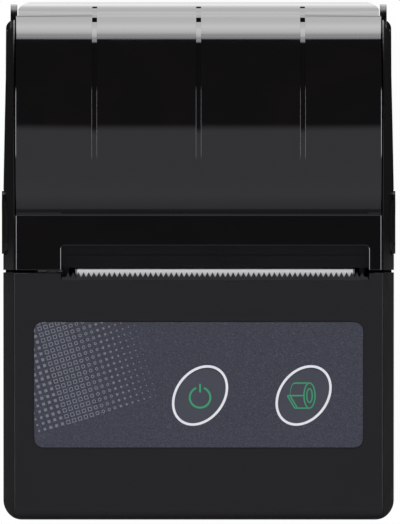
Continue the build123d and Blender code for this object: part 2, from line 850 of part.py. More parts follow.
with BuildPart() as platen_rubber:
    add(ring_between(platen_y, platen_z, rubber_left_x, rubber_right_x, platen_radius, shaft_radius))
save(platen_rubber.part, "platen_rubber")

with BuildPart() as platen_gear:
    with BuildSketch(across(platen_y, platen_z, inner_gear_x)):
        add(gear_outline(platen_teeth, idler_direction))
    extrude(amount=gear_width)
    with BuildSketch(across(platen_y, platen_z, inner_gear_x - 1)):
        Circle(shaft_radius)
    extrude(amount=5, mode=Mode.SUBTRACT)
save(platen_gear.part, "platen_gear")

# Bearings of the platen: they sit in the lid's arms and drop into the frame's slots
left_arm_x = -29.1
right_arm_x = 34.5
arm_thickness = 1.0
bush_radius = 2.55
with BuildPart() as platen_bearings:
    for start_x, end_x in ((left_arm_x, left_plate_x + plate_thickness),
                           (right_plate_x, right_arm_x + arm_thickness)):
        add(ring_between(platen_y, platen_z, start_x, end_x, bush_radius, shaft_radius + 0.05))
save(platen_bearings.part, "platen_bearings")

# Lid shell: deck and dome in one skin that ends in the hinge barrel
blend_z = deck_z + deck_fillet
blend_y = dome_y - sqrt((dome_radius + deck_fillet) ** 2 - (blend_z - dome_z) ** 2)
blend_angle = atan2(dome_z - blend_z, dome_y - blend_y)
blend_middle = (blend_angle - pi / 2) / 2


def dome_join(radius):
    """Point where the hollow fillet meets an arc of this radius about the dome's axis."""
    share = radius / (dome_radius + deck_fillet)
    return (dome_y + (blend_y - dome_y) * share, dome_z + (blend_z - dome_z) * share)


def blend_point(reach):
    """Middle of the hollow fillet at a distance from its centre."""
    return (blend_y + reach * cos(blend_middle), blend_z + reach * sin(blend_middle))


def dome_point(radius, y):
    """Point at this Y on an arc about the dome's axis."""
    return (y, dome_z + sqrt(radius ** 2 - (y - dome_y) ** 2))


def lid_band(outer, inner, start_y, outer_end_y, inner_end_y, deck_start):
    """Side section of a skin that follows deck, fillet and dome between two depths."""
    outer_radius = dome_radius - outer
    inner_radius = dome_radius - inner
    outer_reach = deck_fillet + outer
    inner_reach = deck_fillet + inner
    outer_end = dome_point(outer_radius, outer_end_y)
    inner_end = dome_point(inner_radius, inner_end_y)
    with BuildSketch() as band:
        with BuildLine():
            Line((start_y, deck_z - deck_start), (start_y, deck_z - outer))
            Line((start_y, deck_z - outer), (blend_y, deck_z - outer))
            ThreePointArc((blend_y, deck_z - outer), blend_point(outer_reach), dome_join(outer_radius))
            ThreePointArc(dome_join(outer_radius), (dome_y, dome_z + outer_radius), outer_end)
            Line(outer_end, inner_end)
            ThreePointArc(inner_end, (dome_y, dome_z + inner_radius), dome_join(inner_radius))
            ThreePointArc(dome_join(inner_radius), blend_point(inner_reach), (blend_y, deck_z - inner))
            Line((blend_y, deck_z - inner), (start_y, deck_z - deck_start))
        make_face()
    return band.sketch


# The rear lip starts at 45 degrees under the dome's crease and ends upright
crease_z = dome_point(dome_radius, crease_y)[1]
lip_radius = (lip_rear_y - crease_y) / (1 - cos(radians(45)))
lip_centre_y = lip_rear_y - lip_radius
lip_centre_z = crease_z - lip_radius * sin(radians(45))


def lip_point(radius, angle):
    """Point on an arc about the lip's axis, at an angle above the rear direction."""
    turned = radians(angle)
    return (lip_centre_y + radius * cos(turned), lip_centre_z + radius * sin(turned))


with BuildPart() as lid_shell:
    with BuildSketch(Plane.YZ.offset(-lid_half_width)):
        add(lid_band(0, dome_wall, lid_front_y, crease_y, 49.0, lid_wall))
    extrude(amount=2 * lid_half_width)
    for side in (-1, 1):
        with BuildSketch(Plane.YZ.offset(side * lid_half_width)):
            add(lid_band(1.0, skirt_depth, lid_front_y + 0.3, 49.0, 46.0, skirt_depth - 1.2))
        extrude(amount=-side * 1.5)
    with BuildSketch(across(hinge_y, hinge_z, -lid_half_width)):
        Circle(barrel_radius)
    extrude(amount=2 * lid_half_width)
    lip_inner_radius = lip_radius - lip_wall
    with BuildSketch(Plane.YZ.offset(-lid_half_width)):
        with BuildLine():
            ThreePointArc((crease_y, crease_z), lip_point(lip_radius, 22), lip_point(lip_radius, 0))
            Line(lip_point(lip_radius, 0), lip_point(lip_inner_radius, 0))
            ThreePointArc(
                lip_point(lip_inner_radius, 0),
                lip_point(lip_inner_radius, 22),
                lip_point(lip_inner_radius, 45),
            )
            Line(lip_point(lip_inner_radius, 45), (crease_y - 1.2, crease_z - 0.4))
            Line((crease_y - 1.2, crease_z - 0.4), (crease_y, crease_z))
        make_face()
    extrude(amount=2 * lid_half_width)
    with BuildSketch() as lid_plan:
        with Locations((0, lid_front_y)):
            Rectangle(2 * lid_half_width, lip_rear_y - lid_front_y, align=(Align.CENTER, Align.MIN))
        fillet(lid_plan.vertices().group_by(Axis.Y)[-1], radius=lid_corner_radius)
    extrude(amount=60, mode=Mode.INTERSECT)
    for side in (-1, 1):
        with BuildSketch(across(hinge_y, hinge_z, side * (ear_inner_x - 0.25))):
            Circle(ear_radius + 0.3)
        extrude(amount=side * 2, mode=Mode.SUBTRACT)
    with BuildSketch(Plane.XY.offset(deck_z - 2.5)) as notch:
        with Locations(((notch_left_x + notch_right_x) / 2, notch_rear_y)):
            Rectangle(notch_right_x - notch_left_x, 8, align=(Align.CENTER, Align.MAX))
        fillet(notch.vertices().group_by(Axis.Y)[-1], radius=0.8)
    extrude(amount=5, mode=Mode.SUBTRACT)
    sag = radians(90 - groove_fade_angle)
    fade_y = -dome_radius * sin(radians(groove_fade_angle))
    for groove in (-1, 0, 1):
        groove_x = groove * groove_spacing - groove_width / 2
        with BuildSketch(across(dome_y, dome_z, groove_x)):
            with Locations((fade_y, crease_z - dome_z - 0.3)):
                Rectangle(40, 20, align=(Align.MIN, Align.MIN))
            with Locations((-groove_depth * sin(sag), -groove_depth * cos(sag))):
                Circle(dome_radius, mode=Mode.SUBTRACT)
        extrude(amount=groove_width, mode=Mode.SUBTRACT)
        with BuildSketch(across(lip_centre_y, lip_centre_z, groove_x)):
            with Locations((5.0, 4.3)):
                Rectangle(9, 3.5, align=(Align.MIN, Align.MIN))
            Circle(lip_radius - lip_groove_depth, mode=Mode.SUBTRACT)
        extrude(amount=groove_width, mode=Mode.SUBTRACT)
    with BuildSketch(across(hinge_y, hinge_z, -half_width)):
        Circle(hinge_pin_radius + 0.08)
    extrude(amount=2 * half_width, mode=Mode.SUBTRACT)
save(lid_shell.part, "lid_shell")

# Lid liner: bridge over the platen with two bearing arms, and a ribbed inner skin under the dome
liner_half_width = 36.1
with BuildPart() as lid_liner:
    with BuildSketch(Plane.YZ.offset(-liner_half_width)):
        add(lid_band(dome_wall + 0.05, dome_wall + 1.15, -1.4, 43.0, 42.0, 2.8))
    extrude(amount=2 * liner_half_width)
    with BuildSketch(across(platen_y, platen_z, -liner_half_width)):
        Circle(platen_radius + 0.45)
    extrude(amount=2 * liner_half_width, mode=Mode.SUBTRACT)
    with BuildSketch(across(platen_y, platen_z, inner_gear_x - 0.4)):
        Circle(platen_pitch + gear_module + 0.5)
    extrude(amount=gear_width + 0.8, mode=Mode.SUBTRACT)
    for arm_x in (left_arm_x, right_arm_x):
        with BuildSketch(Plane.YZ.offset(arm_x)):
            with BuildLine():
                Polyline(
                    (-1.2, deck_z - 2.2),
                    (-1.2, platen_z - 1.0),
                    (1.0, platen_z - 3.6),
                    (5.0, platen_z - 3.6),
                    (7.6, platen_z),
                    (7.6, deck_z - 2.2),
                    close=True,
                )
            make_face()
            with Locations((platen_y, platen_z)):
                Circle(bush_radius + 0.02, mode=Mode.SUBTRACT)
        extrude(amount=arm_thickness)
    with BuildSketch(Plane.XY.offset(deck_z - dome_wall - 0.6)):
        with Locations(((notch_left_x + notch_right_x) / 2, 0.6)):
            Rectangle(notch_right_x - notch_left_x - 1.6, 1.1)
    extrude(amount=1.1)
save(lid_liner.part, "lid_liner")

# Path of the paper: off the roll, over the bucket's lip, round the platen and out under the teeth
roll_z = bucket_z - bucket_radius + roll_radius + roll_lift
roll_left_x = paper_centre_x - paper_width / 2
roll_right_x = paper_centre_x + paper_width / 2
strip_radius = platen_radius + paper_gap + paper_thickness / 2
lip_y = 7.4
lip_z = 22.4
roll_clear = roll_radius + 0.12 + paper_thickness / 2
to_lip = atan2(lip_z - roll_z, lip_y - bucket_y)
lip_reach = hypot(lip_y - bucket_y, lip_z - roll_z)
leave_angle = to_lip + acos(roll_clear / lip_reach)
leave = (bucket_y + roll_clear * cos(leave_angle), roll_z + roll_clear * sin(leave_angle))
to_platen = atan2(lip_z - platen_z, lip_y - platen_y)
platen_reach = hypot(lip_y - platen_y, lip_z - platen_z)
wrap_start = to_platen - acos(strip_radius / platen_reach)
wrap_end = -pi + nip
meet = (platen_y + strip_radius * cos(wrap_start), platen_z + strip_radius * sin(wrap_start))
wrap_middle = (wrap_start + wrap_end) / 2
wrap_point = (platen_y + strip_radius * cos(wrap_middle), platen_z + strip_radius * sin(wrap_middle))
part_point = (platen_y + strip_radius * cos(wrap_end), platen_z + strip_radius * sin(wrap_end))
strip_bend_z = tooth_top_z - 1.8
strip_bend = (part_point[0] - (strip_bend_z - part_point[1]) * tan(nip), strip_bend_z)
strip_end = (tear_wall_y + 0.15, tooth_top_z - 0.85)
come_in = atan2(lip_z - leave[1], lip_y - leave[0])
go_out = atan2(meet[1] - lip_z, meet[0] - lip_y)
lip_turn = go_out - come_in
guide_reach = (guide_radius + 0.15) / cos(lip_turn / 2)
guide_direction = (come_in + go_out) / 2 + pi / 2
guide_y = lip_y + guide_reach * cos(guide_direction)
guide_z = lip_z + guide_reach * sin(guide_direction)

# Paper bucket: round trough with end walls and side flanges
with BuildPart() as paper_bucket:
    with BuildSketch(Plane.YZ.offset(bucket_left_x)):
        with Locations((bucket_y, bucket_z)):
            Circle(bucket_radius + bucket_wall)
        with Locations((bucket_y, bucket_z + 0.5)):
            Rectangle(60, 40, align=(Align.CENTER, Align.MIN), mode=Mode.SUBTRACT)
        with Locations((bucket_y - 12.0, bucket_front_z)):
            Rectangle(20, 10, align=(Align.MAX, Align.MIN), mode=Mode.SUBTRACT)
    extrude(amount=bucket_right_x - bucket_left_x)
    with BuildSketch(Plane.YZ.offset(bucket_left_x + bucket_wall)):
        with Locations((bucket_y, bucket_z)):
            Circle(bucket_radius)
    extrude(amount=bucket_right_x - bucket_left_x - 2 * bucket_wall, mode=Mode.SUBTRACT)
    for start_x, end_x in ((-cheek_inner_x, bucket_left_x + 0.5), (bucket_right_x - 0.5, cheek_inner_x)):
        with BuildSketch(Plane.XY.offset(bucket_z - 0.7)):
            with Locations(((start_x + end_x) / 2, 29.0)):
                Rectangle(end_x - start_x, 22.0)
        extrude(amount=1.2)
    add(ring_between(guide_y, guide_z, bucket_left_x, bucket_right_x, guide_radius))
    with BuildSketch(Plane.YZ.offset(bucket_left_x)):
        with BuildLine():
            Polyline(
                (guide_y - 0.9, guide_z),
                (guide_y + 0.9, guide_z),
                (bucket_y - bucket_radius - 0.3, bucket_front_z),
                (bucket_y - bucket_radius - 0.1, bucket_front_z - 2.0),
                (bucket_y - bucket_radius - 0.8, bucket_front_z - 3.0),
                close=True,
            )
        make_face()
    extrude(amount=bucket_right_x - bucket_left_x)
save(paper_bucket.part, "paper_bucket")

# Paper roll, partly used, with its card core
save(ring_between(bucket_y, roll_z, roll_left_x, roll_right_x, roll_radius, core_radius), "paper_roll")
save(ring_between(bucket_y, roll_z, roll_left_x, roll_right_x, core_radius, core_bore_radius), "roll_core")

# Paper strip, a thin ribbon along that path
with BuildPart() as paper_strip:
    with BuildSketch(Plane.YZ.offset(roll_left_x)):
        with BuildLine() as strip_path:
            FilletPolyline(leave, (lip_y, lip_z), meet, radius=guide_radius + 0.15)
            ThreePointArc(meet, wrap_point, part_point)
            FilletPolyline(part_point, strip_bend, strip_end, radius=0.8)
            offset(amount=paper_thickness / 2, side=Side.LEFT)
        make_face()
    extrude(amount=paper_width)
save(paper_strip.part, "paper_strip")

# Screws that hold the casings together, driven up from the underside
with BuildPart() as case_screws:
    for screw_at in ((-screw_x, front_screw_y), (screw_x, front_screw_y),
                     (-rear_screw_x, rear_screw_y), (rear_screw_x, rear_screw_y)):
        with BuildSketch(Plane.XY.offset(6.6)):
            with Locations(screw_at):
                Circle(screw_head_radius)
        extrude(amount=1.4)
        with BuildSketch(Plane.XY.offset(7.9)):
            with Locations(screw_at):
                Circle(screw_radius)
        extrude(amount=12.0)
save(case_screws.part, "case_screws")
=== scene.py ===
"""Looks of a portable receipt printer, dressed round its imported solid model.

The printer lies flat on a pale table and is seen from straight above. Every length is in metres and
every piece shares the frame of the solids: X to the right, Y from the front face to the hinge, Z up.
"""

import logging
import math
from dataclasses import dataclass, field
from enum import Enum
from functools import reduce

import bmesh
import bpy
from mathutils import Matrix, Vector


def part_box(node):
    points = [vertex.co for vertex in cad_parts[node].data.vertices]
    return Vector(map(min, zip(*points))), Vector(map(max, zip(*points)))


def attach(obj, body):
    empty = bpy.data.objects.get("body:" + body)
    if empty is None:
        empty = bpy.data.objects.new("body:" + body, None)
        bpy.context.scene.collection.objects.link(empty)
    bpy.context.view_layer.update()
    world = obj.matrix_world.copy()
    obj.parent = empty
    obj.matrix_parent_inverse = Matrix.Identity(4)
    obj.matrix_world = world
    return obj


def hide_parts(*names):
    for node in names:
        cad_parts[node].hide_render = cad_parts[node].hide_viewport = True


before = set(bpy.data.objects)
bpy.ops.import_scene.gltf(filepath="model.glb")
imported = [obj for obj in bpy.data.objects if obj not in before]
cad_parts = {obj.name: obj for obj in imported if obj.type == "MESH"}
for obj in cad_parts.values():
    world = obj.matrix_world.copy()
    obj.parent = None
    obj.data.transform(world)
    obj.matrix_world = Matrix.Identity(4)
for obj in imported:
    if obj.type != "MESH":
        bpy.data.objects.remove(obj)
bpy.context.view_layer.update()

LOG = logging.getLogger("receipt_printer")
MM = 0.001
QUARTER_TURN = math.radians(90.0)

# Height of the lid's level deck, the middles of the two keys and how far their tops stand out.
DECK_Z = 37.14 * MM
KEY_Y = -27.8 * MM
POWER_KEY_X = 0.3 * MM
FEED_KEY_X = 21.7 * MM
KEY_LIFT = 0.15 * MM

# Brightness of the strip that the lid mirrors behind the printer, and how fast it widens.
REAR_LEVEL = 8.0
FAR_LEVEL = 4.6
HORIZON_LEVEL = 3.68
STRIP_SPREAD = 0.12

Colour = tuple[float, float, float]
Place = tuple[float, float, float]
Socket = bpy.types.NodeSocket


class Sheen(Enum):
    """How a moulded or printed surface returns light, as its roughness."""

    POLISHED = 0.035
    SMOOTH = 0.28
    SATIN = 0.42
    DULL = 0.62


@dataclass(frozen=True)
class Ramp:
    """A change from a first to a last result between two values, held beyond them."""

    start: float
    end: float
    first: float = 0.0
    last: float = 1.0
    eased: bool = False


class ShaderNodes:
    """Short way to add and join nodes in one node tree."""

    def __init__(self, tree: bpy.types.NodeTree) -> None:
        """Keep the tree.

        Args:
            tree: The node tree of a material, world or group.
        """
        self.tree = tree

    @classmethod
    def emptied(cls, owner: bpy.types.Material | bpy.types.World) -> "ShaderNodes":
        """Switch on and empty the nodes of a new material or world.

        Args:
            owner: The material or world.

        Returns:
            Its nodes.
        """
        owner.use_nodes = True
        owner.node_tree.nodes.clear()
        return cls(owner.node_tree)

    def add(self, kind: str, inputs: dict | None = None, **settings: object) -> bpy.types.Node:
        """Add a node.

        Args:
            kind: Type name of the node.
            inputs: Sockets to link and plain values to set, by the input's name or number.
            settings: Property values by name.

        Returns:
            The new node.
        """
        node = self.tree.nodes.new(kind)
        for name, value in settings.items():
            setattr(node, name, value)
        for key, value in (inputs or {}).items():
            self.feed(node.inputs[key], value)
        return node

    def join(self, start: Socket, end: Socket) -> None:
        """Link an output to an input."""
        self.tree.links.new(start, end)

    def feed(self, socket: Socket, value: Socket | float | tuple[float, ...]) -> None:
        """Link an input or set its plain value.

        Args:
            socket: The input.
            value: An output, a number, three numbers or a colour without its alpha.
        """
        if isinstance(value, Socket):
            self.join(value, socket)
        elif socket.type == "RGBA":
            socket.default_value = (*value, 1.0)
        else:
            socket.default_value = value

    def math(self, operation: str, *operands: Socket | float, clamp: bool = False) -> Socket:
        """Add a Math node.

        Args:
            operation: Name of the operation.
            operands: One to three operands.
            clamp: Whether the result is kept between 0 and 1.

        Returns:
            The result.
        """
        inputs = dict(enumerate(operands))
        node = self.add("ShaderNodeMath", inputs, operation=operation, use_clamp=clamp)
        return node.outputs[0]

    def fold(self, operation: str, *values: Socket | float) -> Socket:
        """Apply an operation of two operands to several values in turn."""
        return reduce(lambda done, value: self.math(operation, done, value), values)

    def length(self, x: Socket, y: Socket) -> Socket:
        """Work out the length of a vector in a plane."""
        squares = [self.math("MULTIPLY", side, side) for side in (x, y)]
        return self.math("SQRT", self.math("ADD", *squares))

    def within(self, value: Socket, low: float, high: float) -> Socket:
        """Mask the values between two limits."""
        above = self.math("GREATER_THAN", value, low)
        return self.math("MULTIPLY", above, self.math("LESS_THAN", value, high))

    def split(self, vector: Socket) -> tuple[Socket, ...]:
        """Take a vector apart into X, Y and Z."""
        return tuple(self.add("ShaderNodeSeparateXYZ", {0: vector}).outputs)

    def mapped(self, vector: Socket, scale: Place, turn: Place = (0.0, 0.0, 0.0)) -> Socket:
        """Scale and turn coordinates."""
        inputs = {"Vector": vector, "Rotation": turn, "Scale": scale}
        return self.add("ShaderNodeMapping", inputs).outputs["Vector"]

    def noise(self, vector: Socket, **inputs: Socket | float) -> Socket:
        """Add a noise, with its inputs by name."""
        return self.add("ShaderNodeTexNoise", {"Vector": vector, **inputs}).outputs["Fac"]

    def mix_colour(
        self, share: Socket | float, first: Socket | Colour, second: Socket | Colour
    ) -> Socket:
        """Mix two colours.

        Args:
            share: Share of the second colour.
            first: Colour at share 0.
            second: Colour at share 1.

        Returns:
            The mixed colour.
        """
        inputs = {"Factor": share, "A": first, "B": second}
        return self.add("ShaderNodeMix", inputs, data_type="RGBA").outputs["Result"]

    def ramp(self, value: Socket, ramp: Ramp) -> Socket:
        """Map a value along a ramp.

        Args:
            value: The value.
            ramp: Where the result changes, and from what to what.

        Returns:
            The result.
        """
        inputs = {
            "Value": value,
            "From Min": ramp.start,
            "From Max": ramp.end,
            "To Min": ramp.first,
            "To Max": ramp.last,
        }
        kind = "SMOOTHSTEP" if ramp.eased else "LINEAR"
        node = self.add("ShaderNodeMapRange", inputs, clamp=True, interpolation_type=kind)
        return node.outputs["Result"]


class EffectGroup:
    """Base of the shader node groups that several finishes share."""

    title = "effect"
    knobs: tuple[str, ...] = ()

    def __init__(self) -> None:
        """Build the group once: its inputs, its nodes and an output for each mask."""
        self.group = bpy.data.node_groups.new(self.title, "ShaderNodeTree")
        self.nodes = ShaderNodes(self.group)
        self.socket("Vector", "INPUT", "Vector")
        for knob in self.knobs:
            self.socket(knob, "INPUT", "Float")
        self.entry = self.nodes.add("NodeGroupInput")
        masks = self.masks(self.entry.outputs["Vector"])
        for mask in masks:
            self.socket(mask, "OUTPUT", "Float")
        self.nodes.add("NodeGroupOutput", masks)

    def socket(self, name: str, direction: str, kind: str) -> None:
        """Declare a socket of the group.

        Args:
            name: Name shown on the group.
            direction: INPUT or OUTPUT.
            kind: Float or Vector.
        """
        self.group.interface.new_socket(
            name=name, in_out=direction, socket_type=f"NodeSocket{kind}"
        )

    def masks(self, vector: Socket) -> dict[str, Socket]:
        """Make the masks.

        Args:
            vector: The group's coordinates.

        Returns:
            The masks by name.
        """
        raise NotImplementedError

    def place(self, canvas: "Canvas", **values: float) -> bpy.types.Node:
        """Put the group into a material, on its Object coordinates.

        Args:
            canvas: The material.
            values: Values of the knobs by name.

        Returns:
            The group node.
        """
        inputs = {"Vector": canvas.place, **values}
        return canvas.nodes.add("ShaderNodeGroup", inputs, node_tree=self.group)


class SparkGrain(EffectGroup):
    """Fine eroded texture of a moulded housing: bumps and tiny bright flecks."""

    title = "spark_grain"
    knobs = ("Grain",)

    def masks(self, vector: Socket) -> dict[str, Socket]:
        """Make height and fleck masks from a fine noise and a cloud mask from a coarse one.

        Args:
            vector: The group's coordinates.

        Returns:
            The masks by name.
        """
        nodes = self.nodes
        fine = nodes.noise(vector, Scale=self.entry.outputs["Grain"], Detail=2.0, Roughness=0.6)
        cloud = nodes.noise(vector, Scale=55.0, Detail=3.0, Roughness=0.55)
        return {
            "Height": fine,
            "Fleck": nodes.ramp(fine, Ramp(0.58, 0.78)),
            "Cloud": nodes.ramp(cloud, Ramp(0.3, 0.7)),
        }


class HandlingMarks(EffectGroup):
    """Faint smears and hairline scratches that handling leaves on a smooth surface."""

    title = "handling_marks"

    def masks(self, vector: Socket) -> dict[str, Socket]:
        """Make a smear mask and a scratch mask.

        Args:
            vector: The group's coordinates.

        Returns:
            The masks by name.
        """
        nodes = self.nodes
        smear = nodes.noise(vector, Scale=38.0, Detail=5.0, Roughness=0.62, Distortion=1.4)
        drawn_out = nodes.mapped(vector, scale=(1.0, 30.0, 1.0), turn=(0.3, 0.2, 0.9))
        lines = nodes.noise(drawn_out, Scale=120.0, Detail=1.0)
        return {
            "Smear": nodes.ramp(smear, Ramp(0.35, 0.75)),
            "Scratch": nodes.ramp(lines, Ramp(0.72, 0.80)),
        }


@dataclass(frozen=True)
class Effects:
    """The shader groups, built once."""

    grain: SparkGrain = field(default_factory=SparkGrain)
    marks: HandlingMarks = field(default_factory=HandlingMarks)


@dataclass(frozen=True)
class Canvas:
    """A new material that a finish is laid on: its nodes, shader and Object coordinates."""

    nodes: ShaderNodes
    shader: bpy.types.Node
    place: Socket
    effects: Effects

    def set(self, name: str, value: Socket | float | Colour) -> None:
        """Link or set an input of the shader."""
        self.nodes.feed(self.shader.inputs[name], value)

    def bump(self, height: Socket, strength: float, depth: float) -> None:
        """Give the shader a bump.

        Args:
            height: Height mask.
            strength: Strength of the bump.
            depth: Depth of the bump in metres.
        """
        inputs = {"Strength": strength, "Distance": depth, "Height": height}
        self.set("Normal", self.nodes.add("ShaderNodeBump", inputs).outputs["Normal"])


@dataclass(frozen=True)
class Finish:
    """Base of every finish: a name and a colour, built into one material."""

    name: str
    colour: Colour

    def shade(self, factor: float) -> Colour:
        """Work out the colour made darker or paler by a factor."""
        return tuple(factor * channel for channel in self.colour)

    def build(self, effects: Effects) -> bpy.types.Material:
        """Build the material.

        Args:
            effects: The shared shader groups.

        Returns:
            The material.
        """
        material = bpy.data.materials.new(self.name)
        nodes = ShaderNodes.emptied(material)
        shader = nodes.add("ShaderNodeBsdfPrincipled")
        nodes.add("ShaderNodeOutputMaterial", {"Surface": shader.outputs["BSDF"]})
        place = nodes.add("ShaderNodeTexCoord").outputs["Object"]
        self.lay(Canvas(nodes, shader, place, effects))
        return material

    def lay(self, canvas: Canvas) -> None:
        """Lay the finish on a new material.

        Args:
            canvas: The material.
        """
        raise NotImplementedError


@dataclass(frozen=True)
class MouldedPlastic(Finish):
    """Moulded ABS with an eroded grain, slightly rubbed where hands hold it."""

    sheen: Sheen = Sheen.SATIN
    grain_size: float = 4200.0
    grain_depth: float = 0.03 * MM
    grain_strength: float = 0.25
    specular: float = 0.5
    cloud_shade: float = 0.86
    fleck_share: float = 0.5
    fleck_shade: float = 1.35
    fleck_lift: float = 0.004
    clean_rise: float = 0.04
    rubbed_drop: float = 0.05

    def lay(self, canvas: Canvas) -> None:
        """Lay the clouded colour with its flecks, the rubbed places and the grain.

        Args:
            canvas: The material.
        """
        nodes = canvas.nodes
        grain = canvas.effects.grain.place(canvas, Grain=self.grain_size)
        marks = canvas.effects.marks.place(canvas)
        pale = tuple(min(1.0, channel + self.fleck_lift) for channel in self.shade(self.fleck_shade))
        base = nodes.mix_colour(grain.outputs["Cloud"], self.shade(self.cloud_shade), self.colour)
        flecks = nodes.math("MULTIPLY", grain.outputs["Fleck"], self.fleck_share)
        canvas.set("Base Color", nodes.mix_colour(flecks, base, pale))
        clean = self.sheen.value + self.clean_rise
        rubbed = self.sheen.value - self.rubbed_drop
        rough = nodes.ramp(marks.outputs["Smear"], Ramp(0.0, 1.0, clean, rubbed))
        canvas.set("Roughness", rough)
        canvas.set("Specular IOR Level", self.specular)
        canvas.bump(grain.outputs["Height"], self.grain_strength, self.grain_depth)


@dataclass(frozen=True)
class PolishedPlastic(Finish):
    """High-gloss ABS: near-black, mirror smooth, with faint smears and hairlines."""

    smear_tint: Colour = (1.5, 1.2, 1.05)
    smear_rise: float = 0.05
    scratch_rise: float = 0.05

    def lay(self, canvas: Canvas) -> None:
        """Lay the smeared colour, the hairlines and the slight waves of a moulded face.

        Args:
            canvas: The material.
        """
        nodes = canvas.nodes
        marks = canvas.effects.marks.place(canvas)
        warm = tuple(channel * tint for channel, tint in zip(self.colour, self.smear_tint))
        canvas.set("Base Color", nodes.mix_colour(marks.outputs["Smear"], self.colour, warm))
        clean = Sheen.POLISHED.value
        rough = nodes.ramp(marks.outputs["Smear"], Ramp(0.0, 1.0, clean, clean + self.smear_rise))
        rough = nodes.math(
            "MULTIPLY_ADD", marks.outputs["Scratch"], self.scratch_rise, rough, clamp=True
        )
        canvas.set("Roughness", rough)
        waves = nodes.noise(canvas.place, Scale=26.0, Detail=1.0)
        canvas.bump(waves, strength=0.12, depth=0.04 * MM)


@dataclass(frozen=True)
class Metal(Finish):
    """Plain metal with drawn or ground lines along one axis."""

    roughness: float = 0.3
    squash: Place = (1.0, 18.0, 18.0)
    line_shade: float = 0.78
    smear_rise: float = 0.08
    coated: bool = False

    def lay(self, canvas: Canvas) -> None:
        """Lay the drawn lines and the smears.

        Args:
            canvas: The material.
        """
        nodes = canvas.nodes
        lines = nodes.noise(nodes.mapped(canvas.place, self.squash), Scale=260.0, Detail=4.0)
        marks = canvas.effects.marks.place(canvas)
        base = nodes.mix_colour(lines, self.shade(self.line_shade), self.colour)
        canvas.set("Base Color", base)
        drawn = Ramp(0.3, 0.7, self.roughness - 0.06, self.roughness + 0.08)
        rough = nodes.math(
            "MULTIPLY_ADD",
            marks.outputs["Smear"],
            self.smear_rise,
            nodes.ramp(lines, drawn),
            clamp=True,
        )
        canvas.set("Roughness", rough)
        canvas.set("Metallic", 0.0 if self.coated else 1.0)
        canvas.bump(lines, strength=0.15, depth=0.02 * MM)


@dataclass(frozen=True)
class Halftone:
    """Turned grid of printed cells that shrink from open squares to small dots.

    Columns count to the right and rows upwards from the corner, and sizes are shares of a cell.
    """

    corner: Place = (-33.63 * MM, -13.57 * MM, 0.0)
    turn: float = math.radians(17.0)
    cell: float = 1.262 * MM
    rows: tuple[float, float] = (-17.5, 0.5)
    last_column: float = 15.5
    open_columns: tuple[float, float] = (-0.5, 8.5)
    open_line: float = 0.13
    rounding: Ramp = Ramp(4.0, 6.0)
    sizes: tuple[Ramp, ...] = (
        Ramp(-6.0, -1.0, 0.12, 0.34),
        Ramp(-1.0, 0.0, 0.24, 0.34),
        Ramp(3.0, 15.0, 0.36, 0.08),
    )

    def cells(self, nodes: ShaderNodes, place: Socket) -> tuple[Socket, ...]:
        """Turn coordinates into columns and rows.

        Args:
            nodes: The material's nodes.
            place: Object coordinates.

        Returns:
            Places along and up the grid, in cells.
        """
        inputs = {0: place, 1: self.corner}
        shifted = nodes.add("ShaderNodeVectorMath", inputs, operation="SUBTRACT")
        inputs = {"Vector": shifted.outputs[0], "Angle": -self.turn}
        turned = nodes.add("ShaderNodeVectorRotate", inputs, rotation_type="Z_AXIS")
        inputs = {0: turned.outputs[0], "Scale": 1.0 / self.cell}
        scaled = nodes.add("ShaderNodeVectorMath", inputs, operation="SCALE")
        return nodes.split(scaled.outputs[0])[:2]

    def mask(self, nodes: ShaderNodes, place: Socket) -> Socket:
        """Mask what is printed.

        Args:
            nodes: The material's nodes.
            place: Object coordinates.

        Returns:
            The mask.
        """
        along, up = self.cells(nodes, place)
        column = nodes.math("FLOOR", along)
        row = nodes.math("FLOOR", up)
        off_x, off_y = (
            nodes.math("ABSOLUTE", nodes.math("SUBTRACT", nodes.math("FRACT", side), 0.5))
            for side in (along, up)
        )
        inputs = {
            "Factor": nodes.ramp(column, self.rounding),
            "A": nodes.math("MAXIMUM", off_x, off_y),
            "B": nodes.length(off_x, off_y),
        }
        reach = nodes.add("ShaderNodeMix", inputs, data_type="FLOAT").outputs["Result"]
        size = nodes.fold("MINIMUM", *(nodes.ramp(column, ramp) for ramp in self.sizes))
        filled = nodes.math("LESS_THAN", reach, size)
        opening = nodes.math("LESS_THAN", reach, nodes.math("SUBTRACT", size, self.open_line))
        hollow = nodes.math("MULTIPLY", opening, nodes.within(column, *self.open_columns))
        return nodes.fold(
            "MULTIPLY",
            nodes.math("SUBTRACT", filled, hollow, clamp=True),
            nodes.within(row, *self.rows),
            nodes.math("LESS_THAN", column, self.last_column),
        )


